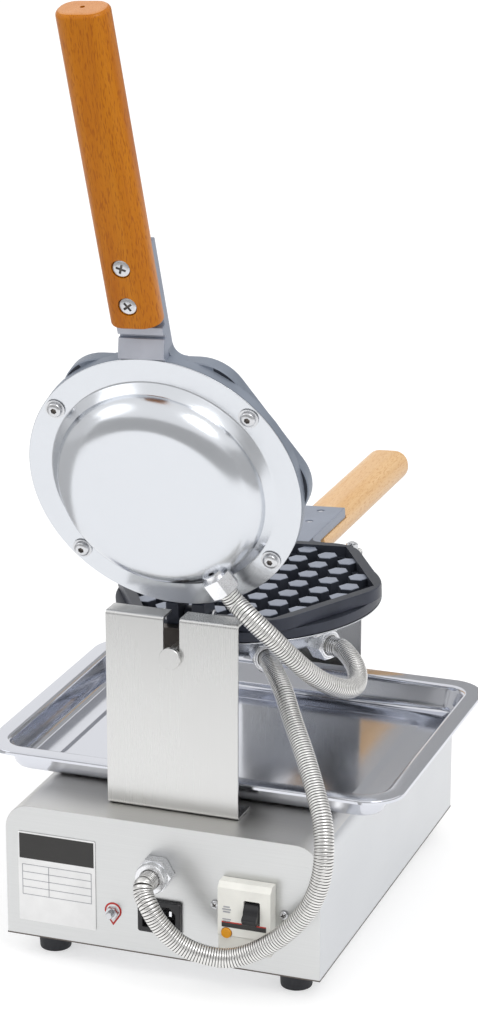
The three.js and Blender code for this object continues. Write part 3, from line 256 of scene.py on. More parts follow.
def plastic(name, colour, roughness, grain=1400.0, strength=0.08):
    """Moulded plastic with a faint grain and slightly uneven colour."""
    colour = linear(colour)
    look = Look(name, colour, roughness)
    texture = look.noise(grain, detail=2.0)
    tint = look.mix(look.spread(look.noise(60.0)), shaded(colour, 0.9), colour)
    rough = look.spread(texture, roughness - 0.05, roughness + 0.07)
    return look.finish(texture, strength, 0.00006, rough, tint)


STEEL_PANEL = brushed("brushed_steel_panel", (20, 1500, 1500), (213, 214, 214), (0.27, 0.38))
STEEL_SIDE = brushed("brushed_steel_side", (1500, 20, 1500), (211, 213, 216), (0.27, 0.38))
STEEL_UPRIGHT = brushed("brushed_steel_upright", (1500, 1500, 20), (217, 217, 216), (0.25, 0.31), 0.008, 0.98)
# Lighter copy of the casing steel for its top faces: painted light.
STEEL_TOP_LIT = brushed("brushed_steel_top_painted_light", (20, 1500, 1500), (226, 225, 222), (0.38, 0.48))
STEEL_TRAY = polished("polished_steel_tray", (213, 215, 222), (0.08, 0.17), (1, 0.06, 1))
STEEL_DOME = polished("polished_steel_dome", (215, 218, 223), (0.18, 0.28))
NICKEL = plated("nickel_plate", (246, 247, 250), (0.22, 0.34))
ZINC = plated("bright_zinc", (214, 215, 218), (0.18, 0.32))
CONDUIT = plated("wound_steel_strip", (240, 239, 237), (0.26, 0.38))
# Dark colour for the conduits' grooves: painted shade in the creases between the wound turns.
CONDUIT_GROOVE_SHADE = plated("wound_strip_groove_painted_shade", (84, 82, 80), (0.4, 0.55))
IRON = coated_iron("coated_cast_iron", (46, 50, 61), (60, 64, 77), (0.36, 0.5))
# Brighter iron colour for the necks' raised top faces.
IRON_BRIGHT = coated_iron("bright_cast_iron", (172, 176, 187), (192, 195, 205), (0.34, 0.48), 0.4)
# Lighter copy of the coated iron for the upper iron's outer faces.
IRON_LIGHTER = coated_iron("lighter_cast_iron", (122, 130, 143), (138, 146, 159), (0.36, 0.5), 0.25)
# Lighter coated iron for the necks, also painted light on the post tops.
IRON_FACE = coated_iron("coated_cast_iron_face", (130, 137, 152), (146, 153, 168), (0.32, 0.44))
# Darker copy of the coated iron: painted shade in the cavities.
IRON_CAVITY_SHADE = coated_iron("coated_cast_iron_cavity_painted_shade", (40, 44, 53), (52, 56, 66), (0.4, 0.52))
# Dark steel for the heaters, also used as painted shade: in screw recesses, on the casing's shadow line and
# on the pivot block.
DARK_STEEL_AND_SHADE = plated("dark_steel_and_painted_shade", (106, 100, 96), (0.3, 0.45))
WOOD_RED = beech("red_beech", -OPEN_ANGLE, 0.04, (178, 98, 3), (194, 115, 6), (205, 128, 16), (160, 84, 2))
END_RED = beech("red_beech_end", -OPEN_ANGLE, 0.04,
                (206, 140, 84), (214, 150, 94), (222, 160, 106), (190, 120, 66))
WOOD_PALE = beech("pale_beech", 0, 0.06, (222, 174, 120), (232, 188, 134), (240, 202, 152), (216, 164, 110))
BLACK_PLASTIC = plastic("black_plastic", (30, 30, 33), 0.36)
BLACK_RUBBER = plastic("black_rubber", (40, 41, 46), 0.6, 900.0, 0.15)
CREAM_PLASTIC = plastic("cream_plastic", (246, 245, 238), 0.32)
GREY_PLASTIC = plastic("grey_plastic", (196, 196, 190), 0.4)
ORANGE_PLASTIC = plastic("orange_plastic", (232, 158, 22), 0.3)
DARK_PRINT = plastic("dark_print", (46, 45, 44), 0.42)
PALE_PRINT = plastic("pale_print", (172, 173, 178), 0.45)
RED_PRINT = plastic("red_print", (196, 52, 44), 0.42)
WHITE_FILM = plastic("white_film", (253, 253, 253), 0.4)
GREEN_LENS = plastic("green_lens", (34, 150, 70), 0.14)
AMBER_LENS = plastic("amber_lens", (240, 150, 30), 0.14)
FIBRE = plastic("ceramic_fibre", (232, 227, 210), 0.9, 500.0, 0.5)
COPPER = plated("copper_bulb", (190, 124, 84), (0.22, 0.34))


# Mesh helpers

SHARP = 35
TINY = 0.00002


def arc(centre, radius, start, end, steps):
    """Points of an arc in a plane, both ends included, angles in radians."""
    angles = [start + (end - start) * step / steps for step in range(steps + 1)]
    return [(centre[0] + radius * math.cos(angle), centre[1] + radius * math.sin(angle)) for angle in angles]


def rectangle(half_x, half_y, centre=(0, 0)):
    return [(centre[0] + side_x * half_x, centre[1] + side_y * half_y) for side_x, side_y in CORNERS]


def rounded_rectangle(half_x, half_y, radius, centre=(0, 0), steps=8):
    points = []
    for corner, middle in enumerate(rectangle(half_x - radius, half_y - radius, centre)):
        points += arc(middle, radius, corner * QUARTER, (corner + 1) * QUARTER, steps)
    return points


def polygon(radius, sides=6, centre=(0, 0)):
    return arc(centre, radius, 0.0, FULL, sides)[:-1]


def ribbon(path, thickness):
    """Closed outline of a sheet whose one face follows the path; the sheet lies to the path's left."""
    shifted = []
    for i, point in enumerate(path):
        before = Vector(path[max(i - 1, 0)])
        after = Vector(path[min(i + 1, len(path) - 1)])
        way = (after - before).normalized()
        reach = thickness
        if 0 < i < len(path) - 1:
            first = (Vector(point) - before).normalized()
            second = (after - Vector(point)).normalized()
            reach = thickness / math.sqrt(max((1 + first.dot(second)) / 2, 0.2))
            way = (first + second).normalized()
        shifted.append((point[0] - way.y * reach, point[1] + way.x * reach))
    return list(path) + shifted[::-1]


def along(axis, a, b, depth):
    return {"z": (a, b, depth), "y": (a, depth, b), "x": (depth, a, b)}[axis]


def soften(mesh, width=0.0, segments=2, angle=SHARP):
    """Rounds the edges that are sharper than the angle and smooths the rest."""
    shape = bmesh.new()
    shape.from_mesh(mesh)
    bmesh.ops.remove_doubles(shape, verts=shape.verts, dist=TINY / 4)
    bmesh.ops.recalc_face_normals(shape, faces=shape.faces)
    if width:
        bmesh.ops.dissolve_limit(shape, angle_limit=math.radians(1), verts=shape.verts, edges=shape.edges)
        sharp = [edge for edge in shape.edges
                 if len(edge.link_faces) == 2 and edge.calc_face_angle(0) > math.radians(angle)]
        bmesh.ops.bevel(shape, geom=sharp, offset=width, segments=segments, profile=0.5,
                        affect="EDGES", clamp_overlap=True)
    shape.to_mesh(mesh)
    shape.free()
    mesh.polygons.foreach_set("use_smooth", [True] * len(mesh.polygons))
    mesh.set_sharp_from_angle(angle=math.radians(angle))
    mesh.update()


def new_piece(name, shape):
    mesh = bpy.data.meshes.new(name)
    shape.to_mesh(mesh)
    shape.free()
    piece = bpy.data.objects.new(name, mesh)
    bpy.context.scene.collection.objects.link(piece)
    return piece


def finish_object(name, shape, look, bevel=0.0, segments=2, angle=SHARP):
    piece = new_piece(name, shape)
    soften(piece.data, bevel, segments, angle)
    piece.data.materials.append(look)
    return piece


def skin(shape, rings, closed=False):
    """Quads between rings of points, each ring a closed loop of as many points."""
    made = [[shape.verts.new(point) for point in ring] for ring in rings]
    for first, second in zip(made, made[1:] + made[:closed]):
        for i in range(len(first)):
            j = (i + 1) % len(first)
            shape.faces.new((first[i], first[j], second[j], second[i]))
    if not closed:
        shape.faces.new(made[0][::-1])
        shape.faces.new(made[-1])


def loft(name, rings, look, closed=False, **soft):
    shape = bmesh.new()
    skin(shape, rings, closed)
    return finish_object(name, shape, look, **soft)


def prism(name, points, low, high, look, axis="z", **soft):
    return loft(name, [[along(axis, a, b, depth) for a, b in points] for depth in (low, high)], look, **soft)


def cutter(points, low, high, axis="z"):
    return prism("cutter", points, low, high, STEEL_PANEL, axis)


def block(name, low, high, look, **soft):
    points = [(low[0], low[1]), (high[0], low[1]), (high[0], high[1]), (low[0], high[1])]
    return prism(name, points, low[2], high[2], look, **soft)


def turned(name, profile, look, centre=(0, 0, 0), axis="z", steps=64, closed=False, **soft):
    """Profile of (radius, height) points turned about an axis through the centre."""
    rings = []
    for radius, height in profile:
        circle = polygon(max(radius, TINY), steps)
        rings.append([Vector(along(axis, a, b, height)) + Vector(centre) for a, b in circle])
    return loft(name, rings, look, closed, **soft)


def rod(name, radius, low, high, look, **place):
    return turned(name, [(0, low), (radius, low), (radius, high), (0, high)], look, **place)


def carve(piece, *cutters, bevel=0.0, segments=2, angle=SHARP):
    """Cuts the cutters out of the piece, for good."""
    for cut in cutters:
        step = piece.modifiers.new("cut", "BOOLEAN")
        step.operation = "DIFFERENCE"
        step.solver = "EXACT"
        step.object = cut
    mesh = bpy.data.meshes.new_from_object(piece.evaluated_get(bpy.context.evaluated_depsgraph_get()))
    piece.modifiers.clear()
    old = piece.data
    look = old.materials[0]
    piece.data = mesh
    mesh.materials.clear()
    mesh.materials.append(look)
    mesh.polygons.foreach_set("material_index", [0] * len(mesh.polygons))
    bpy.data.meshes.remove(old)
    for cut in cutters:
        bpy.data.objects.remove(cut)
    soften(mesh, bevel, segments, angle)
    return piece


def join(name, *pieces):
    """One object from several, each keeping its materials."""
    shape = bmesh.new()
    looks = []
    for piece in pieces:
        mesh = piece.data
        looks += [look for look in mesh.materials if look not in looks]
        own = [looks.index(look) for look in mesh.materials]
        for face in mesh.polygons:
            face.material_index = own[face.material_index]
        shape.from_mesh(mesh)
        bpy.data.objects.remove(piece)
    joined = new_piece(name, shape)
    for look in looks:
        joined.data.materials.append(look)
    joined.data.set_sharp_from_angle(angle=math.radians(SHARP))
    return joined


def repaint(piece, look, chosen):
    """A further material on the faces that are chosen."""
    piece.data.materials.append(look)
    index = len(piece.data.materials) - 1
    for face in piece.data.polygons:
        if chosen(face):
            face.material_index = index


def put_beside(piece, place, node):
    """Sets an extra piece in its place; it moves with the node's body. Flat faces keep their own shading."""
    piece.data.transform(place)
    piece.modifiers.new("even_normals", "WEIGHTED_NORMAL").keep_sharp = True
    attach(piece, BODY_OF[node])


def put(piece, place, node):
    """Sets the piece in its place; it then stands for the CAD node and moves with its body."""
    put_beside(piece, place, node)
    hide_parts(node)


def paint(node, look):
    """A CAD node that keeps its shape gets a finished material."""
    NODES[node].data.materials.clear()
    NODES[node].data.materials.append(look)


# Conduits: wound steel strip between two glands

HOSE_RADIUS = 0.0068
HOSE_ROOT = 0.0061
HOSE_BORE = 0.005
HOSE_PITCH = 0.00198
HOSE_SIDES = 24
RIB_SHARES = (0.0, 0.8, 0.94, 1.0, 1.0, 1.0, 0.94, 0.8)
RINGS_PER_PITCH = len(RIB_SHARES)
HOSE_STRAIGHT = 2 * HOSE_RADIUS
HOSE_LEAD = HOSE_STRAIGHT + HOSE_RADIUS / 2
SEAT_WALL = 0.001
CLEARANCE = 0.0003
GLAND_DEPTH = 0.034
GLAND_START = 0.072528
BASE_GLAND = (0.002, 0.081)
BASE_GLAND_SEAT = 0.1669
UPPER_GLAND_ANGLE = math.radians(119)
SHORT_GLAND_ANGLE = math.radians(26)
LONG_GLAND_ANGLE = math.radians(61.5)

BASE_ROUTE = [
    (0.0005, 0.187, 0.077), (-0.005, 0.191, 0.07), (-0.013, 0.191, 0.058), (-0.026, 0.188, 0.045),
    (-0.042, 0.184, 0.038), (-0.058, 0.18, 0.0365), (-0.074, 0.177, 0.0425), (-0.089, 0.176, 0.053),
    (-0.103, 0.175, 0.067), (-0.113, 0.174, 0.082), (-0.119, 0.1725, 0.1), (-0.12, 0.169, 0.118),
    (-0.1155, 0.159, 0.135), (-0.105, 0.144, 0.151), (-0.092, 0.127, 0.167), (-0.077, 0.108, 0.1825),
    (-0.064, 0.0905, 0.196),
]
IRON_ROUTE = [
    (-0.097, 0.0365, 0.2005), (-0.103, 0.047, 0.1965), (-0.106, 0.06, 0.1945), (-0.105, 0.075, 0.197),
    (-0.1, 0.089, 0.203), (-0.094, 0.1, 0.2105), (-0.088, 0.109, 0.219), (-0.082, 0.116, 0.228),
    (-0.075, 0.121, 0.237), (-0.068, 0.1245, 0.2455), (-0.0605, 0.1265, 0.253), (-0.0515, 0.127, 0.261),
]


def gland_exit(place, angle):
    """Seat of a conduit in a cover's gland, and the way out of it."""
    seat = GLAND_START + SEAT_WALL + CLEARANCE
    way = place.to_3x3() @ Vector((math.cos(angle), math.sin(angle), 0))
    return place @ Vector((seat * math.cos(angle), seat * math.sin(angle), GLAND_DEPTH)), way.normalized()


def full_route(start, middle, end):
    """Points from seat to seat with a straight lead at both ends."""
    (first, out), (last, back) = start, end
    return ([first, first + out * HOSE_STRAIGHT, first + out * HOSE_LEAD]
            + [BASE @ Vector(point) for point in middle]
            + [last + back * HOSE_LEAD, last + back * HOSE_STRAIGHT, last])


def smooth_curve(points, steps):
    """Centripetal curve through the points, sampled at even lengths."""
    ends = [2 * points[0] - points[1], *points, 2 * points[-1] - points[-2]]
    fine = []
    per_span = 60
    for before, a, b, after in zip(ends, ends[1:], ends[2:], ends[3:]):
        gaps = [max((q - p).length ** 0.5, TINY) for p, q in ((before, a), (a, b), (b, after))]
        leave = ((a - before) / gaps[0] - (b - before) / (gaps[0] + gaps[1]) + (b - a) / gaps[1]) * gaps[1]
        reach = ((b - a) / gaps[1] - (after - a) / (gaps[1] + gaps[2]) + (after - b) / gaps[2]) * gaps[1]
        square = -3 * a + 3 * b - 2 * leave - reach
        cube = 2 * a - 2 * b + leave + reach
        for t in (step / per_span for step in range(per_span)):
            fine.append(a + leave * t + square * t ** 2 + cube * t ** 3)
    fine.append(points[-1])
    lengths = [0.0]
    for a, b in zip(fine, fine[1:]):
        lengths.append(lengths[-1] + (b - a).length)
    total = lengths[-1]
    even = []
    span = 0
    for step in range(steps + 1):
        target = total * step / steps
        while span < len(lengths) - 2 and lengths[span + 1] < target:
            span += 1
        share = (target - lengths[span]) / (lengths[span + 1] - lengths[span])
        even.append(fine[span].lerp(fine[span + 1], min(max(share, 0.0), 1.0)))
    return even, total


def wound_hose(name, route):
    """Helically wound strip round a bore, along the route."""
    coarse, total = smooth_curve(route, 200)
    steps = round(total / HOSE_PITCH) * RINGS_PER_PITCH
    path, total = smooth_curve(route, steps)
    rings = []
    bore = []
    wheel = polygon(1.0, HOSE_SIDES)
    side = (path[1] - path[0]).normalized().orthogonal().normalized()
    for i, point in enumerate(path):
        way = (path[min(i + 1, steps)] - path[max(i - 1, 0)]).normalized()
        side = (side - way * side.dot(way)).normalized()
        other = way.cross(side)
        spokes = [side * a + other * b for a, b in wheel]
        radius = HOSE_ROOT + (HOSE_RADIUS - HOSE_ROOT) * RIB_SHARES[i % RINGS_PER_PITCH]
        rings.append([point + spoke * radius for spoke in spokes])
        if i % (RINGS_PER_PITCH * 4) == 0 or i == steps:
            bore.append([point + spoke * HOSE_BORE for spoke in spokes])
    shape = bmesh.new()
    skin(shape, rings + bore[::-1], closed=True)
    hose = finish_object(name, shape, CONDUIT, angle=50)
    outside = steps * HOSE_SIDES
    grooves = (0, RINGS_PER_PITCH - 1)
    # The groove rings get the dark material: painted shade in the creases of the wound strip.
    repaint(hose, CONDUIT_GROOVE_SHADE, lambda face: face.index < outside
            and face.index // HOSE_SIDES % RINGS_PER_PITCH in grooves)
    return hose, coarse, total


def make_conduits():
    seat = (BASE @ Vector((BASE_GLAND[0], BASE_GLAND_SEAT, BASE_GLAND[1])), Vector((0, 1, 0)))
    ends = {"conduit_base": (seat, gland_exit(LOWER, LONG_GLAND_ANGLE)),
            "conduit_irons": (gland_exit(LOWER, SHORT_GLAND_ANGLE), gland_exit(UPPER, UPPER_GLAND_ANGLE))}
    for node, middle, bodies, start, end in (
        ("conduit_base", BASE_ROUTE, ("base", "lower_half"), (-0.1, 0.2, 0.11), (-0.1, 0.2, 0.188)),
        ("conduit_irons", IRON_ROUTE, ("lower_half", "upper_half"), (-0.1, 0.18, 0.21), (-0.1, 0.18, 0.262)),
    ):
        hose, path, length = wound_hose(f"{node}_wound", full_route(ends[node][0], middle, ends[node][1]))
        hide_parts(node)
        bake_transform(hose)


make_conduits()


# Base casing, its feet and the drip tray

CASING_HALF = 0.114
CASING_BACK = 0.1573
CASING_BOTTOM = 0.0175
CASING_TOP = 0.1147
CASING_CORNER = 0.018
SHEET = 0.0012
# Height and standing-out of the dark strip at the casing's foot, a painted shadow line.
SHADOW_LINE_HEIGHT = 0.0009
SHADOW_LINE_PROUD = 0.00012
GLAND_HOLE = 0.0077
SPINDLE_HOLE = 0.0036
LAMP_HOLE = 0.0054
FOOT_PLACE = (0.089, 0.132)


def casing_outline(inset, bottom):
    """Front view of the casing: straight sides, round top edges."""
    corner = CASING_CORNER - inset
    half = CASING_HALF - inset
    top = CASING_TOP - inset
    return ([(half, bottom)] + arc((half - corner, top - corner), corner, 0, QUARTER, 14)
            + arc((corner - half, top - corner), corner, QUARTER, HALF_TURN, 14) + [(-half, bottom)])


def make_casing():
    outside, inside = casing_outline(0, CASING_BOTTOM), casing_outline(SHEET, CASING_BOTTOM - SHEET)
    shell = prism("casing_shell", outside, -CASING_BACK, CASING_BACK, STEEL_PANEL, "y")
    hollow = cutter(inside, SHEET - CASING_BACK, CASING_BACK - SHEET, "y")
    rear = [rectangle(half_x + CLEARANCE, half_z + CLEARANCE, centre) for (half_x, half_z), centre in (
        (INLET_BODY_HALF, INLET_PLACE), (BREAKER_INNER_HALF, BREAKER_PLACE))]
    rear.append(polygon(GLAND_HOLE, 32, BASE_GLAND))
    rounds = ((SPINDLE_HOLE, KNOB_X, KNOB_Z), (LAMP_HOLE, LAMP_X, LAMP_Z))
    front = [polygon(radius, 24, (side * x, z)) for radius, x, z in rounds for side in (-1, 1)]
    holes = [cutter(hole, CASING_BACK - 2 * SHEET, CASING_BACK + SHEET, "y") for hole in rear]
    holes += [cutter(hole, -CASING_BACK - SHEET, 2 * SHEET - CASING_BACK, "y") for hole in front]
    carve(shell, hollow, *holes, bevel=0.0007)
    repaint(shell, STEEL_SIDE, lambda face: abs(face.normal.y) <= 0.5)
    # Top faces get the lighter copy of the steel: painted light on the top.
    repaint(shell, STEEL_TOP_LIT, lambda face: abs(face.normal.y) <= 0.5 and face.normal.z > 0.6)
    # A dark strip round the casing's foot is painted shadow: it stands for the shadow gap above the bottom
    # plate.
    painted_shadow_line = []
    for side in (-1, 1):
        for axis, half in (("y", CASING_BACK), ("x", CASING_HALF)):
            inner, outer = sorted((side * (half - SHEET), side * (half + SHADOW_LINE_PROUD)))
            low, high = (-CASING_HALF, inner), (CASING_HALF, outer)
            if axis == "x":
                low, high = (inner, -CASING_BACK), (outer, CASING_BACK)
            painted_shadow_line.append(block("painted_shadow_line", (*low, CASING_BOTTOM), (*high, CASING_BOTTOM + SHADOW_LINE_HEIGHT), DARK_STEEL_AND_SHADE))
    put(join("casing_bent", shell, *painted_shadow_line), BASE, "casing")
    paint("bottom_plate", STEEL_SIDE)


def make_feet():
    profile = [(0, 0.0006), (0.0055, 0.0006), (0.006, 0), (0.0098, 0), (0.0108, 0.0004), (0.011, 0.0014),
               (0.0119, 0.0162), (0.0116, 0.017), (0.0108, 0.0172), (0, 0.0172)]
    for number, (side_x, side_y) in enumerate(((-1, -1), (1, -1), (-1, 1), (1, 1)), start=1):
        foot = turned(f"foot_{number}", profile, BLACK_RUBBER, bevel=0.0002)
        put(foot, BASE @ shift(side_x * FOOT_PLACE[0], side_y * FOOT_PLACE[1], 0), f"rubber_foot_{number}")


TRAY_HALF = (0.1521, 0.1197)
TRAY_CENTRE_Y = -0.0018
TRAY_FLOOR = 0.115
TRAY_DROP = 0.0204
PANEL_CORNER = 0.0122

# The tray's rim from its outer edge to the raised panel, and back below: inset, height, corner radius
TRAY_TOP = [
    (0.0, TRAY_DROP - 0.003, 0.0257), (0.0, TRAY_DROP - 0.0012, 0.0257), (0.0003, TRAY_DROP - 0.0004, 0.0254),
    (0.0011, TRAY_DROP, 0.0246), (0.0105, TRAY_DROP - 0.0001, 0.0182), (0.0122, TRAY_DROP - 0.0006, 0.0172),
    (0.0134, TRAY_DROP - 0.0018, 0.0165), (0.0141, TRAY_DROP - 0.0038, 0.016), (0.0165, 0.0075, 0.0145),
    (0.0173, 0.0045, 0.0142), (0.0186, 0.0024, 0.0138), (0.0205, 0.0012, 0.0134), (0.0228, 0.0009, 0.013),
    (0.0385, 0.0009, PANEL_CORNER), (0.0405, 0.0011, PANEL_CORNER), (0.0435, 0.0019, PANEL_CORNER),
    (0.0455, 0.0021, PANEL_CORNER), (0.08, 0.00212, PANEL_CORNER),
]
TRAY_UNDER = [
    (0.0807, 0.0012, PANEL_CORNER), (0.0459, 0.0012, PANEL_CORNER), (0.0433, 0.0007, PANEL_CORNER),
    (0.0388, 0.0, PANEL_CORNER), (0.0232, 0.0, 0.0126), (0.0206, 0.0003, 0.013), (0.018, 0.0018, 0.0136),
    (0.0163, 0.0042, 0.0142), (0.0154, 0.0076, 0.0148), (0.0131, TRAY_DROP - 0.0042, 0.0166),
    (0.0124, TRAY_DROP - 0.0022, 0.0172), (0.0112, TRAY_DROP - 0.0011, 0.018),
    (0.0102, TRAY_DROP - 0.00095, 0.0186), (0.0016, TRAY_DROP - 0.0009, 0.0242),
    (0.0009, TRAY_DROP - 0.0013, 0.0249), (0.0008, TRAY_DROP - 0.003, 0.025),
]


def make_tray():
    """Pressed tray: rolled rim, sloping walls, filleted floor with a raised panel."""
    rings = []
    half_x, half_y = TRAY_HALF
    for inset, height, corner in TRAY_UNDER + TRAY_TOP:
        outline = rounded_rectangle(half_x - inset, half_y - inset, corner, (0, TRAY_CENTRE_Y), 12)
        rings.append([(x, y, TRAY_FLOOR + height) for x, y in outline])
    put(loft("drip_tray_pressed", rings, STEEL_TRAY, angle=60), BASE, "drip_tray")


# Screw heads and nuts, drawn on z 0

WASHER_SHEET = 0.0008
HEAD_EDGE = 0.45


def pan_head(name, radius, height, cross=0.55, washer=0.0):
    """Low dome with a cross recess, or a hexagon one where cross is zero, on its washer if it has one."""
    base = WASHER_SHEET if washer else 0.0
    rise = base + height
    profile = [(0, 0), (washer, 0), (washer, base)] if washer else [(0, base)]
    profile += [(radius, base), (radius, base + height * HEAD_EDGE)]
    for out, up in arc((HEAD_EDGE, HEAD_EDGE), 1 - HEAD_EDGE, 0, QUARTER, 6)[1:]:
        profile.append((radius * out, base + height * up))
    head = turned(name, profile + [(0, rise)], ZINC, steps=40)
    outline = []
    arm, half = radius * cross, radius * 0.13
    corner = [(arm, half), (half, half), (half, arm)]
    for _ in CORNERS:
        outline += corner
        corner = [(-y, x) for x, y in corner]
    carve(head, cutter(outline if cross else polygon(radius * 0.42), rise - height * 0.6, rise + height))
    # Recess floor and walls get the dark steel: painted shade in the recess.
    repaint(head, DARK_STEEL_AND_SHADE, lambda face: face.center.z < rise - height * 0.25
            and face.center.xy.length < radius * 0.57)
    return head


def hex_nut(name, radius, height, look, bore=0.0):
    """Hexagon nut, its corners turned off at the top."""
    nut = prism(name, polygon(radius), 0, height, look)
    chamfer = radius * 0.134
    ring = turned("ring", [(radius * 1.3, height * 0.5), (radius * 1.3, height + chamfer),
                           (radius * 0.87, height + chamfer), (radius * 0.87, height),
                           (radius * 1.01, height - chamfer * 0.6), (radius * 1.01, height * 0.5)],
                  look, steps=48, closed=True)
    bores = [cutter(polygon(bore, 32), -height, 2 * height)] if bore else []
    return carve(nut, ring, *bores, bevel=0.00012, segments=1, angle=20)


# Brackets

BRACKET_HALF = 0.0473
BRACKET_SHEET = 0.0016
BRACKET_BEND = 0.0026
BRACKET_FOOT_BEND = 0.0036
BRACKET_FOOT = 0.0242
BRACKET_BOTTOM = CASING_TOP + CLEARANCE
REAR_FACE = 0.1342
REAR_TOP = 0.255
REAR_FLANGE = 0.0162
FRONT_FACE = -0.1385
FRONT_TOP = 0.2233
FRONT_FLANGE = 0.0165
SLOT_HALF = 0.00575
NOTCH_RADIUS = 0.0265
BOLT_X = 0.03
BOLT_INSET = 0.014
BOLT_RADIUS = 0.0025


def channel(name, face, inward, top, flange):
    """Bent sheet: foot flange, wall and top flange, with bent corners."""
    low = (face + inward * BRACKET_FOOT_BEND, BRACKET_BOTTOM + BRACKET_FOOT_BEND)
    high = (face + inward * BRACKET_BEND, top - BRACKET_BEND)
    path = [(face + inward * BRACKET_FOOT, BRACKET_BOTTOM)]
    path += [(low[0] - inward * BRACKET_FOOT_BEND * math.sin(a), low[1] - BRACKET_FOOT_BEND * math.cos(a))
             for a in ROUND]
    path += [(high[0] - inward * BRACKET_BEND * math.cos(a), high[1] + BRACKET_BEND * math.sin(a))
             for a in ROUND]
    path.append((face + inward * flange, top))
    return prism(name, ribbon(path, -inward * BRACKET_SHEET), -BRACKET_HALF, BRACKET_HALF, STEEL_UPRIGHT, "x")


def make_brackets():
    slot = [(SLOT_HALF, REAR_TOP + 0.002), (-SLOT_HALF, REAR_TOP + 0.002)]
    slot += arc((0, PIVOT_HEIGHT), SLOT_HALF, HALF_TURN, FULL, 16)
    notch = polygon(NOTCH_RADIUS, 72, (0, PIVOT_HEIGHT))
    bolts = []
    for node, face, inward, top, flange, opening in (
        ("rear_bracket", REAR_FACE, -1, REAR_TOP, REAR_FLANGE, slot),
        ("front_bracket", FRONT_FACE, 1, FRONT_TOP, FRONT_FLANGE, notch),
    ):
        sheet = channel(f"{node}_bent", face, inward, top, flange)
        places = [(side * BOLT_X, face + inward * BOLT_INSET) for side in (-1, 1)]
        holes = [rod("hole", BOLT_RADIUS + CLEARANCE, BRACKET_BOTTOM - 0.001, BRACKET_BOTTOM + 0.003,
                     STEEL_UPRIGHT, centre=(*place, 0), steps=24) for place in places]
        low, high = sorted((face - inward * 0.002, face + inward * 0.02))
        put(carve(sheet, cutter(opening, low, high, "y"), *holes, bevel=0.00025), BASE, node)
        bolts += [(place, node) for place in places]
    for place, node in bolts:
        spot = BASE @ shift(*place, BRACKET_BOTTOM + BRACKET_SHEET)
        put_beside(pan_head("bracket_screw", 0.0043, 0.0024), spot, node)


# Cast irons, drawn on the parting plane with z away from the other iron and +y to the hinge

HEX_INRADIUS = 0.089
HEX_FILLET = 0.0308
HEX_HALF_ANGLE = math.radians(30)
MATING_GAP = 0.00015
OVERLAP = 0.002
LOBE_DEPTH = 0.0095
DISC_RADIUS = 0.0949
IRON_THICKNESS = 0.0164
CAVITY_RADIUS = 0.094
CAVITY_WALL = 0.008
CAVITY_FLOOR_RADIUS = 0.0895
CAVITY_DEPTH = 0.0125
BAKING_RADIUS = 0.08
POST_RADIUS = 0.0076
POST_DRAFT = 0.0011
POST_TOP = 0.002
POST_PITCH = 0.0218
POST_ROW_SHARES = {0: (0, 1, 2, 3), 1: (0.5, 1.5, 2.5, 3.5), 2: (0, 1, 2, 3), 3: (0.5, 1.5, 2.5), 4: (0, 1)}
NECK_HALF = 0.016
NECK_FLARE = 0.009
TONGUE_TIP = 0.1748
TONGUE_THICKNESS = 0.008
NECK_START = 0.1155
NECK_THICKNESS = 0.0124
NECK_GROOVE = 0.0025
NECK_GROOVE_START = 0.1098
NECK_GROOVE_DEPTH = 0.003
NECK_SHOULDER = 0.1005
NECK_SHOULDER_THICKNESS = 0.0163
NECK_TOP = 0.0188
ARM_INNER = 0.0047
ARM_OUTER = 0.014
ARM_RADIUS = 0.0134
ARM_TOP_AT_RIM = 0.018
HINGE_Y = HINGE_BACK - PLATE_CENTRE
HINGE_Z = HINGE_RISE - PARTING_RISE
KNUCKLE_RADIUS = 0.0065
LUG_HALF = 0.017
LUG_NEAR = 0.00535
STOP_WALL_FRONT = 0.1055
LUG_END = STOP_WALL_FRONT - CLEARANCE - PLATE_CENTRE
SCREW_STATIONS = (0.137, 0.164)
SCREW_HOLE = 0.0028
SCREW_SHANK = 0.0025


def hex_outline(inset=0.0):
    """Hexagon with softly rounded corners, flat sides towards ±y."""
    fillet = HEX_FILLET - inset
    reach = (HEX_INRADIUS - inset - fillet) / math.cos(HEX_HALF_ANGLE)
    points = []
    for corner in range(6):
        angle = corner * FULL / 6
        middle = (reach * math.cos(angle), reach * math.sin(angle))
        points += arc(middle, fillet, angle - HEX_HALF_ANGLE, angle + HEX_HALF_ANGLE, 8)
    return points


def layered(outline_at, levels):
    """Loft through levels of (height, inset), with outline_at giving the outline for an inset."""
    return loft("layered", [[(x, y, z) for x, y in outline_at(inset)] for z, inset in levels], IRON)


def make_posts(name):
    """Drafted hexagonal posts, their sides painted darker as shade and their tops painted lighter as faces
    that catch the light.
    """
    column_pitch = POST_PITCH * math.sqrt(3) / 2
    levels = [(CAVITY_DEPTH + CLEARANCE, POST_DRAFT), (POST_TOP + 0.0006, 0.0), (POST_TOP + 0.0002, -0.0002),
              (POST_TOP, -0.0008)]
    shape = bmesh.new()
    for column in range(-4, 5):
        for share in POST_ROW_SHARES[abs(column)]:
            for side in ((1,) if share == 0 else (1, -1)):
                centre = (column * column_pitch, side * share * POST_PITCH)
                skin(shape, [[(x, y, z) for x, y in polygon(POST_RADIUS + grow, 6, centre)]
                             for z, grow in levels])
    # Post sides take the darker cavity iron: painted shade between the posts.
    posts = finish_object(f"{name}_posts", shape, IRON_CAVITY_SHADE, angle=30)
    # Post tops get the lighter iron colour: painted light.
    repaint(posts, IRON_FACE, lambda face: face.center.z < POST_TOP + 0.0007)
    return posts


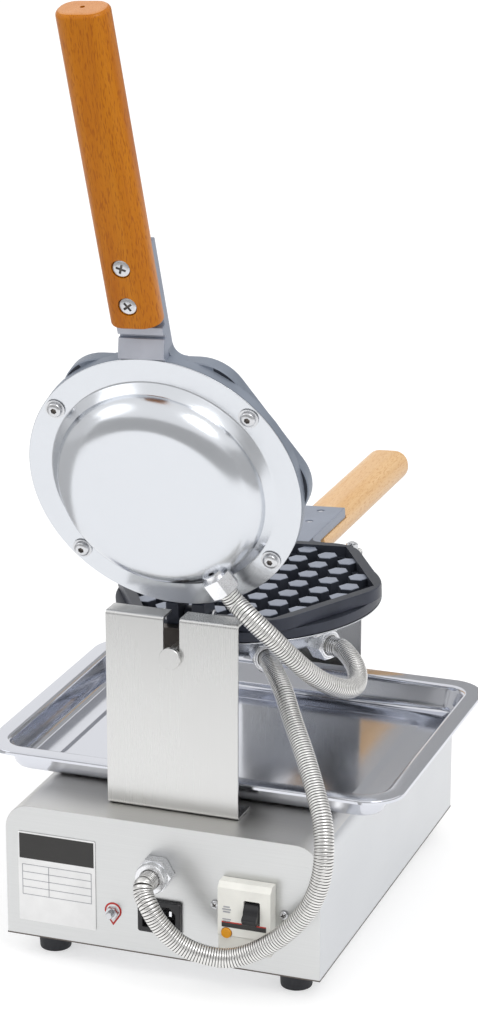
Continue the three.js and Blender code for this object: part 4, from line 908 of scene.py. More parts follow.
def make_neck(name):
    root = OVERLAP - HEX_INRADIUS
    rim = -DISC_RADIUS - CLEARANCE
    groove = NECK_GROOVE - NECK_GROOVE_START
    groove_floor = NECK_THICKNESS - NECK_GROOVE_DEPTH
    side_view = [
        (root, MATING_GAP), (root, IRON_THICKNESS), (rim, IRON_THICKNESS), (rim, NECK_TOP),
        (-NECK_SHOULDER, NECK_SHOULDER_THICKNESS), (groove, NECK_THICKNESS), (groove, groove_floor),
        (-NECK_GROOVE_START, groove_floor), (-NECK_GROOVE_START, NECK_THICKNESS),
        (-NECK_START, NECK_THICKNESS), (-NECK_START, TONGUE_THICKNESS), (-TONGUE_TIP, TONGUE_THICKNESS),
        (-TONGUE_TIP, MATING_GAP),
    ]
    neck = prism(f"{name}_neck", side_view, -NECK_HALF, NECK_HALF, IRON_FACE, "x")
    holes = [cutter(polygon(SCREW_HOLE, 24, (0, -station)), -0.001, TONGUE_THICKNESS + 0.001)
             for station in SCREW_STATIONS]
    carve(neck, *holes, bevel=0.0007)
    # The neck's raised top faces get the brighter iron colour.
    repaint(neck, IRON_BRIGHT, lambda face: face.normal.z > 0.5 and face.center.y > -NECK_START - 0.001
            and face.center.z > TONGUE_THICKNESS + 0.0005)
    return neck


def make_flares(name):
    """Fillets between the neck's sides and the plate."""
    flares = []
    for side, start in ((-1, 0), (1, HALF_TURN)):
        far, near = side * (NECK_HALF + NECK_FLARE), side * (NECK_HALF - 0.001)
        low, high = -HEX_INRADIUS - NECK_FLARE, OVERLAP - HEX_INRADIUS
        points = arc((far, low), NECK_FLARE, start, QUARTER, 8) + [(far, high), (near, high), (near, low)]
        flares.append(prism(f"{name}_flare", points, MATING_GAP + 0.0002, LOBE_DEPTH - 0.0004, IRON))
    return flares


def upper_arms():
    """Two arms that reach back to the hinge axis."""
    root, rim = HEX_INRADIUS - OVERLAP, DISC_RADIUS + CLEARANCE
    outline = [(root, MATING_GAP + CLEARANCE), (HINGE_Y, MATING_GAP + CLEARANCE)]
    outline += arc((HINGE_Y, HINGE_Z), ARM_RADIUS, -0.68, QUARTER + 0.2, 24)
    outline += [(rim, ARM_TOP_AT_RIM), (rim, IRON_THICKNESS), (root, IRON_THICKNESS)]
    return [prism("arm", outline, low, high, IRON, "x", bevel=0.0007)
            for low, high in ((ARM_INNER, ARM_OUTER), (-ARM_OUTER, -ARM_INNER))]


def lower_lug():
    """Lug behind the plate with the middle knuckle of the hinge."""
    lug = block("lug", (-LUG_HALF, HEX_INRADIUS - OVERLAP, LUG_NEAR), (LUG_HALF, LUG_END, IRON_THICKNESS),
                IRON, bevel=0.0008)
    half = ARM_INNER - 2 * CLEARANCE
    web = [(HINGE_Y - 2 * KNUCKLE_RADIUS, LUG_NEAR + OVERLAP)]
    web += arc((HINGE_Y, -HINGE_Z), KNUCKLE_RADIUS, -HALF_TURN, 0, 16)
    web += [(HINGE_Y + KNUCKLE_RADIUS, LUG_NEAR + OVERLAP)]
    return [lug, prism("knuckle", web, -half, half, IRON, "x", bevel=0.0005)]


def in_shaded_cavity(face):
    """Walls that face the middle, and the floor between the posts: the faces painted darker as shade."""
    inward = face.normal.x * face.center.x + face.normal.y * face.center.y < 0 and abs(face.normal.z) < 0.5
    return inward or (face.center.xy.length < BAKING_RADIUS and face.center.z < CAVITY_DEPTH + 0.0005)


def make_iron(name, place):
    plate = layered(hex_outline, [(LOBE_DEPTH, 0.0008), (LOBE_DEPTH - 0.0008, 0), (MATING_GAP + 0.0008, 0),
                                  (MATING_GAP + 0.0002, 0.0003), (MATING_GAP, 0.0009)])
    floor = polygon(CAVITY_FLOOR_RADIUS)
    carve(plate, cutter(polygon(CAVITY_RADIUS), -OVERLAP, CAVITY_WALL), cutter(floor, -OVERLAP, CAVITY_DEPTH))
    disc = layered(lambda inset: polygon(DISC_RADIUS - inset, 96), [
        (LOBE_DEPTH - CLEARANCE, 0), (IRON_THICKNESS - 0.001, 0), (IRON_THICKNESS - 0.0003, 0.0003),
        (IRON_THICKNESS, 0.001)])
    carve(disc, cutter(floor, -OVERLAP, CAVITY_DEPTH))
    flares = make_flares(name)
    for shell in (plate, disc):
        # Cavity walls and the floor between the posts get the darker iron: painted shade.
        repaint(shell, IRON_CAVITY_SHADE, in_shaded_cavity)
    # On the upper iron, the faces that don't face the lower iron get the lighter copy of the iron colour.
    if name == "upper":
        for shell in (plate, disc, *flares):
            repaint(shell, IRON_LIGHTER, lambda face: face.material_index == 0 and face.normal.z > -0.5)
    arms = upper_arms() if name == "upper" else lower_lug()
    put(join(f"{name}_iron_cast", plate, disc, make_posts(name), make_neck(name), *flares, *arms), place,
        f"{name}_iron")


# Covers, their screws and glands

COVER_BASE = IRON_THICKNESS + CLEARANCE
COVER_SHEET = 0.001
COVER_FLANGE = COVER_BASE + COVER_SHEET
DOME_RADIUS = 0.0768
DOME_HEIGHT = 0.0246
DOME_DRAFT = 0.004
DOME_SHOULDER = 0.021
DOME_CROWN = 0.0007
FLANGE_FILLET = 0.0022
SCREW_CIRCLE = 0.0867
SCREW_ANGLE = math.radians(39)
NUT_RADIUS = 0.0112
NUT_LENGTH = 0.0124
NUT_SET_BACK = 0.0046
COLLAR_RADIUS = 0.009
COLLAR_LENGTH = 0.0008
SPIGOT_RADIUS = 0.007
SPIGOT_BORE = 0.0035
SPIGOT_SHOWN = 0.008


def cover_face(inset):
    """Profile from the flange's edge to the top, drawn at a depth under the outer face."""
    top = COVER_BASE + DOME_HEIGHT
    flat = DOME_RADIUS - DOME_DRAFT - DOME_SHOULDER
    foot = DOME_RADIUS + FLANGE_FILLET
    points = [(DISC_RADIUS - 0.0004, COVER_FLANGE - inset), (foot, COVER_FLANGE - inset)]
    points += [(DOME_RADIUS + FLANGE_FILLET * (1 - math.sin(a)) - inset,
                COVER_FLANGE + FLANGE_FILLET * (1 - math.cos(a)) - inset * math.cos(a))
               for a in (0.4, 0.8, 1.2)]
    points += arc((flat, top - DOME_CROWN - DOME_SHOULDER), DOME_SHOULDER - inset, 0.16, QUARTER - 0.04, 16)
    points += [(flat * share, top - DOME_CROWN * share ** 2 - inset)
               for share in (0.94, 0.8, 0.6, 0.4, 0.2, 0)]
    return points


def make_cover(name, place):
    edge = [(DISC_RADIUS - 0.0001, COVER_BASE + 0.0002), (DISC_RADIUS, COVER_BASE + 0.0006),
            (DISC_RADIUS - 0.0001, COVER_FLANGE - 0.0002)]
    profile = cover_face(COVER_SHEET)[::-1] + edge + cover_face(0.0)
    put(turned(f"{name}_cover_spun", profile, STEEL_DOME, steps=144, angle=50), place, f"{name}_cover")
    across, back = SCREW_CIRCLE * math.cos(SCREW_ANGLE), SCREW_CIRCLE * math.sin(SCREW_ANGLE)
    for number, (x, y) in enumerate(rectangle(across, back), start=1):
        spot = place @ shift(x, y, COVER_FLANGE + CLEARANCE) @ spin(math.radians(25 * number), "Z")
        node = f"{name}_cover_screw_{number}"
        put(pan_head(f"{node}_head", 0.0052, 0.0026, cross=0, washer=0.0068), spot, node)


def gland_body(name, nut_radius, nut_length, collar_radius, collar_length):
    """Hexagon nut with a ring-shaped collar, standing on z 0."""
    nut = hex_nut("nut", nut_radius, nut_length, NICKEL)
    bore = HOSE_RADIUS + CLEARANCE
    seat = nut_length - CLEARANCE
    rise = nut_length + collar_length
    profile = [(bore, seat), (collar_radius - 0.0006, seat), (collar_radius, nut_length + 0.0005),
               (collar_radius, rise - 0.0009), (collar_radius - 0.0004, rise - 0.0002),
               (collar_radius - 0.001, rise), (bore + 0.0004, rise), (bore, rise - 0.0004)]
    collar = turned("collar", profile, NICKEL, steps=48, closed=True, angle=30)
    return join(name, carve(nut, cutter(polygon(bore, 40), 0.001, 2 * rise), bevel=0.0002), collar)


def make_gland(node, place, angle):
    profile = [(SPIGOT_BORE, -SPIGOT_SHOWN), (SPIGOT_RADIUS, -SPIGOT_SHOWN), (SPIGOT_RADIUS, 0.0002),
               (SPIGOT_BORE, 0.0002)]
    spigot = turned("spigot", profile, NICKEL, closed=True, angle=30)
    gland = gland_body("gland", NUT_RADIUS, NUT_LENGTH, COLLAR_RADIUS, COLLAR_LENGTH)
    gland.data.transform(shift(0, 0, -NUT_SET_BACK))
    spot = (spin(angle, "Z") @ shift(GLAND_START, 0, GLAND_DEPTH)
            @ spin(QUARTER, "Y") @ spin(HEX_HALF_ANGLE, "Z"))
    put(join(f"{node}_turned", gland, spigot), place @ spot, node)


# Handles

HANDLE_START = 0.1207
HANDLE_END = 0.3367
HANDLE_HALF = 0.0173
HANDLE_FLAT = 0.0005
HANDLE_THICKNESS = 0.0246
HANDLE_CORNER = 0.0115
HANDLE_INNER_CORNER = 0.011
HANDLE_ROUND = 0.0036
HANG_HOLE = 0.0016
CUP_RADIUS = 0.0065
CUP_FLOOR = HANDLE_THICKNESS - 0.0026


def handle_section(inset):
    inner = HANDLE_INNER_CORNER - min(inset, 0.003)
    corner = HANDLE_CORNER - min(inset, 0.004)
    half = HANDLE_HALF - inset
    low = HANDLE_FLAT + inset
    high = HANDLE_THICKNESS - inset
    return (arc((half - inner, low + inner), inner, -QUARTER, 0, 6)
            + arc((half - corner, high - corner), corner, 0, QUARTER, 10)
            + arc((corner - half, high - corner), corner, QUARTER, HALF_TURN, 10)
            + arc((inner - half, low + inner), inner, HALF_TURN, HALF_TURN + QUARTER, 6))


def make_handle(name, place, look):
    levels = [(HANDLE_ROUND * (1 - math.cos(a)) - HANDLE_END, HANDLE_ROUND * (1 - math.sin(a)))
              for a in ROUND]
    levels += [(-HANDLE_START - 0.0012, 0.0), (-HANDLE_START - 0.0004, 0.0003), (-HANDLE_START, 0.0011)]
    rings = [[(x, y, z) for x, z in handle_section(inset)] for y, inset in levels]
    wood = loft(f"{name}_handle_wood", rings, look)
    cutters = [block("seat", (-0.03, -TONGUE_TIP - CLEARANCE, -0.002),
                     (0.03, OVERLAP - HANDLE_START, TONGUE_THICKNESS + CLEARANCE), look)]
    cutters += [rod("cup", CUP_RADIUS, CUP_FLOOR, HANDLE_THICKNESS + 0.002, look,
                    centre=(0, -station, 0), steps=40) for station in SCREW_STATIONS]
    cutters += [cutter(polygon(SCREW_HOLE, 24, (0, -station)), -0.001, HANDLE_THICKNESS)
                for station in SCREW_STATIONS]
    cutters.append(cutter(polygon(HANG_HOLE, 20, (0, HANDLE_THICKNESS / 2)), -HANDLE_END - 0.002,
                          0.008 - HANDLE_END, "y"))
    carve(wood, *cutters, bevel=0.0003)
    if look == WOOD_RED:
        repaint(wood, END_RED,
                lambda face: face.normal.y < -0.8 and face.center.y < HANDLE_ROUND - HANDLE_END)
    put(wood, place, f"{name}_handle")
    for number, station in enumerate(SCREW_STATIONS, start=1):
        node = f"{name}_handle_screw_{number}"
        spot = place @ shift(0, -station, CUP_FLOOR + CLEARANCE) @ spin(math.radians(35 * number), "Z")
        shank = rod("shank", SCREW_SHANK, 0.0006 - CUP_FLOOR, 0.0002, ZINC, steps=32)
        put(join(f"{node}_turned", pan_head("head", 0.0062, 0.0022), shank), spot, node)


# Pivot, hinge and cradle

BLOCK_THICKNESS = 0.009
BLOCK_END = STOP_WALL_FRONT + BLOCK_THICKNESS
BLOCK_TOP = 0.0136
PIVOT_HEAD = REAR_FACE + CLEARANCE
HINGE_END = ARM_OUTER + CLEARANCE
SMALL_NUT = (0.0046, 0.004)
SMALL_BORE = 0.0026
CRADLE_RADIUS = 0.018
CRADLE_SHEET = 0.0015
CRADLE_WIDTH = 0.009
CRADLE_BOLT_X = 0.042
CRADLE_END = 0.0472
CRADLE_MIDDLE = PLATE_CENTRE - NECK_START + 0.0008 + CRADLE_WIDTH / 2


def make_pivot():
    # The pivot block takes the dark steel colour as painted shade and painted reflection, the dark that falls
    # on it.
    stop = block("pivot_block_milled", (-LUG_HALF, STOP_WALL_FRONT, PARTING_RISE - IRON_THICKNESS),
                 (LUG_HALF, BLOCK_END, BLOCK_TOP), DARK_STEEL_AND_SHADE, bevel=0.0008)
    put(stop, PAIR, "pivot_block")
    near, far, head = STOP_WALL_FRONT + CLEARANCE, BLOCK_END + CLEARANCE, PIVOT_HEAD
    profile = [
        (0, near), (0.004, near), (0.004, far), (0.005, far), (0.0054, BLOCK_END + 0.0007), (0.0054, head),
        (0.0071, head), (0.00755, head + 0.0005), (0.00755, head + 0.0033), (0.0073, head + 0.0036),
        (0, head + 0.0036)]
    put(turned("pivot_pin_turned", profile, STEEL_UPRIGHT, axis="y"), PAIR, "pivot_pin")
    end = HINGE_END
    profile = [(0, -end - 0.0022), (0.0038, -end - 0.0022), (0.0046, -end - 0.0014), (0.0046, -end),
               (0.003, -end), (0.003, end + 0.0068), (0.0026, end + 0.0072), (0, end + 0.0072)]
    pin = turned("hinge_pin_turned", profile, ZINC, centre=(0, HINGE_BACK, HINGE_RISE), axis="x", steps=40)
    put(pin, PAIR, "hinge_pin")
    nut = hex_nut("hinge_nut_milled", 0.0052, 0.0046, ZINC, bore=0.0033)
    put(nut, PAIR @ shift(HINGE_END, HINGE_BACK, HINGE_RISE) @ spin(QUARTER, "Y"), "hinge_nut")


def make_cradle():
    """Saddle strap between the ears on the front bracket, with its bolts and nuts."""
    ear = FRONT_TOP + CLEARANCE
    outer = CRADLE_RADIUS + CRADLE_SHEET
    drop = math.asin((PIVOT_HEIGHT - ear) / outer)
    saddle = arc((0, PIVOT_HEIGHT), outer, -drop, drop - HALF_TURN, 40)
    path = [(CRADLE_END, ear), *saddle, (-CRADLE_END, ear)]
    strap = prism("cradle_strap", ribbon(path, -CRADLE_SHEET), CRADLE_MIDDLE - CRADLE_WIDTH / 2,
                  CRADLE_MIDDLE + CRADLE_WIDTH / 2, STEEL_UPRIGHT, "y")
    put(strap, BASE, "front_cradle")
    nut_bottom = ear + CRADLE_SHEET + CLEARANCE
    tip, bolt_end = nut_bottom + 0.0052, FRONT_TOP - 0.006
    profile = [(0, bolt_end), (0.0025, bolt_end), (0.0025, nut_bottom + 0.0048), (0.0021, tip), (0, tip)]
    for number, side in enumerate((-1, 1), start=1):
        nut = hex_nut("nut", *SMALL_NUT, ZINC, bore=SMALL_BORE)
        nut.data.transform(shift(0, 0, nut_bottom))
        shank = turned("shank", profile, ZINC, steps=32)
        head = hex_nut("head", *SMALL_NUT, ZINC)
        head.data.transform(shift(0, 0, FRONT_TOP - BRACKET_SHEET - CLEARANCE - SMALL_NUT[1]))
        bolt = join(f"cradle_bolt_{number}_turned", nut, shank, head)
        put(bolt, BASE @ shift(side * CRADLE_BOLT_X, CRADLE_MIDDLE, 0), f"cradle_bolt_{number}")


# Rear panel

PANEL_FACE = CASING_BACK + CLEARANCE
INLET_PLACE = (0.0003, 0.0479)
INLET_FLANGE_HALF = (0.0155, 0.012)
INLET_FLANGE = 0.003
INLET_BODY_HALF = (0.0133, 0.0095)
INLET_BODY_BACK = PANEL_FACE - 0.024
INLET_SOCKET_HALF = (0.012, 0.00825)
INLET_SOCKET_DEPTH = 0.016
INLET_CLIP = 0.0045
INLET_PINS = ((-0.007, 0.002), (0.0, -0.002), (0.007, 0.002))
BREAKER_PLACE = (-0.064, 0.06)
BREAKER_HALF = (0.01875, 0.025)
BREAKER_INNER_HALF = (0.017, 0.023)
BREAKER_SCREW_Z = 0.0631
BREAKER_SCREW_REACH = 0.0244
BREAKER_FRONT = PANEL_FACE + 0.011
BREAKER_SLOPE = 0.0035
BREAKER_FILM = 0.00025
TOGGLE_PLACE = (-0.0695, 0.0655)
TOGGLE_RADIUS = 0.0075
TOGGLE_REACH = TOGGLE_RADIUS + 0.0035
TOGGLE_HALF = 0.0052
TOGGLE_TILT = math.radians(24)
TEST_PLACE = (-0.0516, 0.049)
BAND_LOW = 0.0533
BAND_TOP = 0.0566
BREAKER_MARKS = ((0.008, 0.0022, 0.0005), (0.0062, 0.003, 0.0005), (0.0044, 0.0026, 0.0005),
                 (-0.001, 0.003, 0.0004), (-0.0025, 0.0024, 0.0004))
EARTH_PLACE = (0.0349, 0.0457)
STICKER_PLACE = (0.0349, 0.0462)
LABEL_CENTRE = (0.076, 0.0625)
LABEL_HALF = (0.0285, 0.033)
LABEL_FILM = 0.0005
LABEL_MARGIN = 0.003
BAND_MARGIN = 0.001
LINE_HALF = 0.00025
ROW_PITCH = 0.0056


def on_panel(x, z, angle=0.0):
    """A place on the rear panel, with z out of the panel."""
    return BASE @ shift(x, PANEL_FACE, z) @ spin(-QUARTER, "X") @ spin(angle, "Z")


def printed(name, across, up, face, look, depth=0.0001):
    """Flat bar on a face, from its spans across and up."""
    return block(name, (across[0], face, up[0]), (across[1], face + depth, up[1]), look)


def make_inlet():
    mouth = PANEL_FACE + INLET_FLANGE
    socket_floor = mouth - INLET_SOCKET_DEPTH
    flange = prism("flange", rounded_rectangle(*INLET_FLANGE_HALF, 0.0018, INLET_PLACE), PANEL_FACE, mouth,
                   BLACK_PLASTIC, "y", bevel=0.0005)
    body = prism("body", rectangle(*INLET_BODY_HALF, INLET_PLACE), INLET_BODY_BACK, PANEL_FACE + 0.001,
                 BLACK_PLASTIC, "y")
    x, z = INLET_PLACE
    half_x, half_z = INLET_SOCKET_HALF
    shape = [(x + half_x, z + half_z - INLET_CLIP), (x + half_x - INLET_CLIP, z + half_z),
             (x - half_x + INLET_CLIP, z + half_z), (x - half_x, z + half_z - INLET_CLIP),
             (x - half_x, z - half_z), (x + half_x, z - half_z)]
    for shell in (flange, body):
        carve(shell, cutter(shape, socket_floor, mouth + 0.002, "y"), bevel=0.0004)
    pins = [block("pin", (x + dx - 0.001, INLET_BODY_BACK - 0.004, z + dz - 0.002),
                  (x + dx + 0.001, socket_floor + 0.012, z + dz + 0.002), NICKEL, bevel=0.0003)
            for dx, dz in INLET_PINS]
    put(join("power_inlet_moulded", flange, body, *pins), BASE, "power_inlet")


def make_breaker_case():
    x, z = BREAKER_PLACE
    half_x, half_z = BREAKER_HALF
    low, high, front = z - half_z, z + half_z, BREAKER_FRONT
    side_view = [
        (PANEL_FACE, low), (front - 0.0012, low), (front - 0.0012, low + 0.011), (front, low + 0.0122),
        (front, high - BREAKER_SLOPE), (front - BREAKER_SLOPE, high), (PANEL_FACE, high)]
    case = prism("case", side_view, x - half_x, x + half_x, CREAM_PLASTIC, "x")
    well = cutter(rounded_rectangle(0.0057, 0.00875, 0.001, TOGGLE_PLACE), front - 0.009, front + 0.002, "y")
    button_well = cutter(polygon(0.0039, 32, TEST_PLACE), front - 0.008, front + 0.002, "y")
    carve(case, well, button_well, bevel=0.0005)
    inner_x, inner_z = BREAKER_INNER_HALF
    inner = block("inner", (x - inner_x, PANEL_FACE - 0.044, z - inner_z),
                  (x + inner_x, PANEL_FACE + 0.005, z + inner_z), CREAM_PLASTIC, bevel=0.0005)
    put(join("breaker_case_moulded", case, inner), BASE, "breaker_case")


def make_breaker_print():
    """Dark band with a red stripe over it, and pale bars in place of words."""
    x, z = BREAKER_PLACE
    half = BREAKER_HALF[0]
    across = (x - half + 0.003, x + half - 0.003)
    for name, up, look in (("breaker_band", (BAND_LOW, BAND_TOP), DARK_PRINT),
                           ("breaker_stripe", (BAND_TOP, BAND_TOP + 0.0008), RED_PRINT)):
        put_beside(printed(name, across, up, BREAKER_FRONT, look, BREAKER_FILM), BASE, "breaker_case")
    bars = [prism("bar", rectangle(wide, high, (x + half - 0.0065, z + rise)), BREAKER_FRONT,
                  BREAKER_FRONT + BREAKER_FILM, PALE_PRINT, "y") for rise, wide, high in BREAKER_MARKS]
    put_beside(join("breaker_print", *bars), BASE, "breaker_case")


def make_breaker_lever():
    """Black lever: round hub and a short grip."""
    tip = TOGGLE_REACH
    profile = arc((0, 0), TOGGLE_RADIUS, 0.45, FULL - 0.45, 32)
    profile += [(tip - 0.001, -0.003), (tip, -0.002), (tip, 0.002), (tip - 0.001, 0.003)]
    lever = prism("breaker_lever_moulded", profile, -TOGGLE_HALF, TOGGLE_HALF, BLACK_PLASTIC, "x",
                  bevel=0.0005)
    hub = shift(TOGGLE_PLACE[0], BREAKER_FRONT - TOGGLE_RADIUS / 2, TOGGLE_PLACE[1]) @ spin(-TOGGLE_TILT, "X")
    put(lever, BASE @ hub, "breaker_toggle")


def make_test_button():
    profile = [(0, -0.0042), (0.0036, -0.0042), (0.0036, 0.0008), (0.0033, 0.0012), (0, 0.0013)]
    centre = (TEST_PLACE[0], BREAKER_FRONT, TEST_PLACE[1])
    button = turned("test_button_moulded", profile, ORANGE_PLASTIC, centre=centre, axis="y", steps=40)
    put(button, BASE, "breaker_test_button")


def make_breaker_screws():
    for number, side in enumerate((-1, 1), start=1):
        x = BREAKER_PLACE[0] + side * BREAKER_SCREW_REACH
        spot = on_panel(x, BREAKER_SCREW_Z, math.radians(20 * number))
        put(pan_head(f"breaker_screw_{number}_head", 0.003, 0.002), spot, f"breaker_screw_{number}")


def make_earth_stud():
    nut = hex_nut("nut", *SMALL_NUT, ZINC, bore=SMALL_BORE)
    profile = [(0, -0.012), (0.0025, -0.012), (0.0025, 0.0074), (0.0021, 0.008), (0, 0.008)]
    stud = turned("stud", profile, ZINC, steps=32)
    put(join("earth_stud_turned", nut, stud), on_panel(*EARTH_PLACE), "earth_stud")


def make_earth_sticker():
    """Drop-shaped film round the earth stud: red edge and white middle."""
    x, z = STICKER_PLACE
    for name, width, depth, look in (("earth_sticker", 0.0062, 0.00018, RED_PRINT),
                                     ("earth_sticker_middle", 0.0049, 0.00024, WHITE_FILM)):
        drop = arc((x, z), width, -0.5, HALF_TURN + 0.5, 28) + [(x, z - 1.75 * width)]
        put_beside(prism(name, drop, CASING_BACK, CASING_BACK + depth, look, "y"), BASE, "rating_label")


def make_label():
    """Pale film with a dark band and the lines of an empty table."""
    outline = rounded_rectangle(*LABEL_HALF, 0.001, LABEL_CENTRE)
    face = PANEL_FACE + LABEL_FILM
    put(prism("rating_label_film", outline, PANEL_FACE, face, WHITE_FILM, "y"), BASE, "rating_label")
    low, high = (LABEL_CENTRE[0] + side * LABEL_HALF[0] for side in (-1, 1))
    top = LABEL_CENTRE[1] + LABEL_HALF[1]
    table_top = top - 0.024
    rows = [printed("band", (low + BAND_MARGIN, high - BAND_MARGIN), (top - 0.0195, top - BAND_MARGIN), face,
                    DARK_PRINT)]
    across = (low + LABEL_MARGIN, high - LABEL_MARGIN)
    for height in (table_top - row * ROW_PITCH for row in range(5)):
        rows.append(printed("line", across, (height - LINE_HALF, height + LINE_HALF), face, PALE_PRINT))
    for column in (across[1], LABEL_CENTRE[0] + 0.006, across[0]):
        span = (column - LINE_HALF, column + LINE_HALF)
        rows.append(printed("line", span, (table_top - 4 * ROW_PITCH, table_top), face, PALE_PRINT))
    put_beside(join("rating_label_print", *rows), BASE, "rating_label")


def make_base_gland():
    put(gland_body("base_gland_turned", 0.0127, 0.009, 0.0108, 0.006), on_panel(*BASE_GLAND), "base_gland")


# Front panel

KNOB_X = 0.052
KNOB_Z = 0.064
KNOB_REAR = -CASING_BACK - 0.003
KNOB_FRONT = KNOB_REAR - 0.017
TICK_NEAR = 0.0245
TICK_FAR = 0.0275
TICK_HALF = 0.00035
LAMP_X = 0.014
LAMP_Z = 0.092


def make_knob(node, x):
    rear, front = KNOB_REAR, KNOB_FRONT
    place = {"centre": (x, 0, KNOB_Z), "axis": "y"}
    profile = [
        (0, rear - 0.0002), (0.0205, rear), (0.022, rear - 0.0006), (0.022, rear - 0.0024),
        (0.0213, rear - 0.003), (0.0202, rear - 0.0032), (0.0196, front + 0.0085), (0.0186, front + 0.0074),
        (0.017, front + 0.007), (0, front + 0.007)]
    body = turned("body", profile, BLACK_PLASTIC, steps=72, **place)
    grip = block("grip", (x - 0.0045, front, KNOB_Z - 0.017), (x + 0.0045, front + 0.009, KNOB_Z + 0.0197),
                 BLACK_PLASTIC, bevel=0.0012, segments=3)
    pointer = block("pointer", (x - 0.0006, front - 0.0001, KNOB_Z + 0.008),
                    (x + 0.0006, front + 0.001, KNOB_Z + 0.019), WHITE_FILM)
    spindle = rod("spindle", 0.003, rear - 0.002, rear + 0.016, ZINC, steps=32, **place)
    put(join(f"{node}_moulded", body, grip, pointer, spindle), BASE, node)


def make_tick(x, angle):
    """Short mark on the panel beside a knob."""
    way = Vector((-math.cos(angle), 0, math.sin(angle)))
    across = Vector((way.z, 0, -way.x)) * TICK_HALF
    centre = Vector((x, -CASING_BACK, KNOB_Z))
    near, far = centre + way * TICK_NEAR, centre + way * TICK_FAR
    ring = [near + across, far + across, far - across, near - across]
    rings = [[point + Vector((0, depth, 0)) for point in ring] for depth in (0.0001, -0.0002)]
    return loft("tick", rings, DARK_PRINT)


def make_controls():
    """Knobs and the tick marks round them."""
    for node, x, marks in (("thermostat_knob", KNOB_X, 10), ("timer_knob", -KNOB_X, 13)):
        make_knob(node, x)
        ticks = [make_tick(x, math.radians(90 - 270 * mark / (marks - 1))) for mark in range(marks)]
        put_beside(join(f"{node}_scale", *ticks), BASE, "casing")


def make_signal_lamps():
    head = -CASING_BACK - CLEARANCE
    profile = [(0, head + 0.0198), (0.005, head + 0.0198), (0.005, head), (0.0063, head),
               (0.0065, head - 0.0004), (0.0062, head - 0.0018), (0.0048, head - 0.0031),
               (0.0026, head - 0.0038), (0, head - 0.004)]
    for node, x, look in (("lamp_green", -LAMP_X, GREEN_LENS), ("lamp_amber", LAMP_X, AMBER_LENS)):
        put(turned(f"{node}_lens", profile, look, centre=(x, 0, LAMP_Z), axis="y", steps=48), BASE, node)


def paint_hidden_pieces():
    """Pieces inside the casing and the covers keep their CAD shape."""
    for node in ("thermostat_body", "timer_body"):
        paint(node, GREY_PLASTIC)
    paint("terminal_block", CREAM_PLASTIC)
    paint("thermostat_bulb", COPPER)
    for half in ("lower", "upper"):
        paint(f"{half}_heater", DARK_STEEL_AND_SHADE)
        paint(f"{half}_insulation", FIBRE)


make_casing()
make_feet()
make_tray()
make_brackets()
make_cradle()
for half, place, look in (("lower", LOWER, WOOD_PALE), ("upper", UPPER, WOOD_RED)):
    make_iron(half, place)
    make_cover(half, place)
    make_handle(half, place, look)
make_gland("lower_gland_1", LOWER, SHORT_GLAND_ANGLE)
make_gland("lower_gland_2", LOWER, LONG_GLAND_ANGLE)
make_gland("upper_gland", UPPER, UPPER_GLAND_ANGLE)
make_pivot()
make_inlet()
make_breaker_case()
make_breaker_print()
make_breaker_lever()
make_test_button()
make_breaker_screws()
make_earth_stud()
make_earth_sticker()
make_label()
make_base_gland()
make_controls()
make_signal_lamps()
paint_hidden_pieces()


# Floor, world and lamps

FLOOR_HALF = 30
WORLD_FILL = 0.92
FLOOR_GLOW = 0.52
WHITE = (1, 1, 1, 1)
CARDS = (
    ("card_behind", ((-1.6, -1.3), (0.35, -1.3)), 0.3, 1.5, 0.5),
    ("card_rear", ((-1.2, 0.86), (1.0, 0.86)), 0.0, 0.6, 0.64),
    ("card_dome", ((0.42, -0.2), (0.42, 0.5)), 0.0, 0.35, 0.72),
    ("card_left", ((1.3, -0.9), (1.3, 0.95)), 0.0, 0.9, 0.85),
    ("card_right", ((-1.2, -0.7), (-1.2, 0.95)), 0.0, 0.8, 0.66),
)


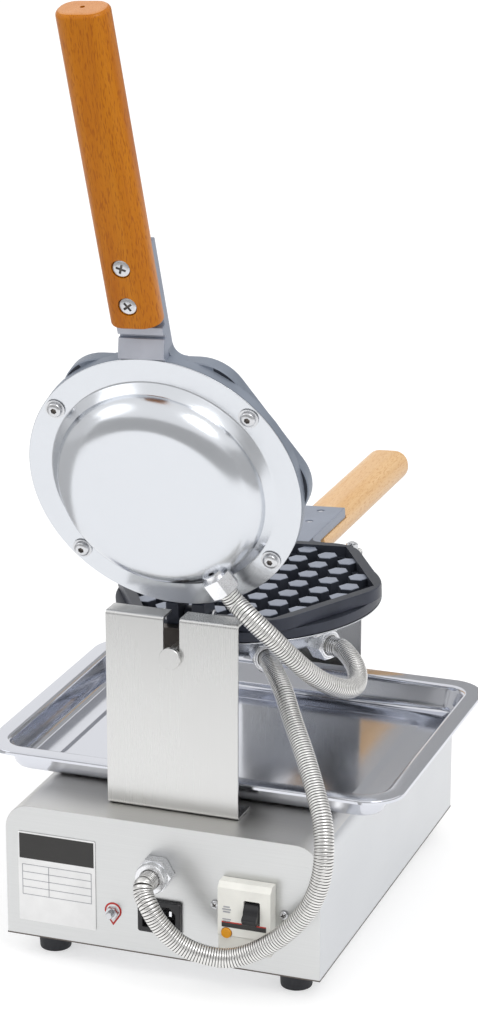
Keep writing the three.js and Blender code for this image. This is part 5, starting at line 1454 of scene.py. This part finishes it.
def seen_directly(nodes):
    """1 for camera, glossy and transmission rays, 0 for the rest."""
    path = nodes.new("ShaderNodeLightPath").outputs
    total = path["Is Camera Ray"]
    for name in ("Is Glossy Ray", "Is Transmission Ray"):
        total = add_node(nodes, "Math", 0, {0: total, 1: path[name]}, operation="MAXIMUM")
    return total


def flat_piece(name, corners, look):
    shape = bmesh.new()
    shape.faces.new([shape.verts.new(corner) for corner in corners])
    return finish_object(name, shape, look)


def make_floor():
    look = new_material("pale_floor", **{
        "Base Color": linear((206, 206, 206)), "Roughness": 0.9, "Specular IOR Level": 0.0,
        "Emission Color": WHITE})
    nodes = look.node_tree.nodes
    glow = add_node(nodes, "Math", 0, {0: seen_directly(nodes), 1: FLOOR_GLOW}, operation="MULTIPLY")
    feed(nodes["Principled BSDF"], {"Emission Strength": glow})
    flat_piece("floor", [(x, y, 0) for x, y in rectangle(FLOOR_HALF, FLOOR_HALF)], look)


def make_world():
    world = bpy.data.worlds.new("studio")
    bpy.context.scene.world = world
    world.use_nodes = True
    nodes = world.node_tree.nodes
    fill = add_node(nodes, "MapRange", "Result", {
        "To Min": WORLD_FILL, "To Max": 1.0, "Value": seen_directly(nodes)})
    feed(nodes["Background"], {"Color": WHITE, "Strength": fill})


def make_lamp(name, place, target, size, power):
    data = bpy.data.lights.new(name, "AREA")
    data.shape = "DISK"
    data.size = size
    data.energy = power
    lamp = bpy.data.objects.new(name, data)
    lamp.location = place
    lamp.rotation_euler = (Vector(target) - Vector(place)).to_track_quat("-Z", "Y").to_euler()
    bpy.context.scene.collection.objects.link(lamp)


def make_card(name, corners, share):
    """Grey card beside the camera's view that only reflections see."""
    look = new_material(name, **{"Base Color": (share, share, share, 1), "Roughness": 1.0})
    card = flat_piece(name, corners, look)
    card.visible_camera = False
    card.visible_diffuse = False
    card.visible_shadow = False


make_floor()
make_world()
make_lamp("key", (-1.5, 1.6, 2.4), (0, 0.05, 0.2), 1.4, 18)
make_lamp("fill", (1.8, 1.2, 1.6), (0, 0.05, 0.25), 1.6, 5)
for name, (start, end), low, high, share in CARDS:
    make_card(name, [(*start, low), (*end, low), (*end, high), (*start, high)], share)
bpy.context.scene.view_settings.view_transform = "Standard"
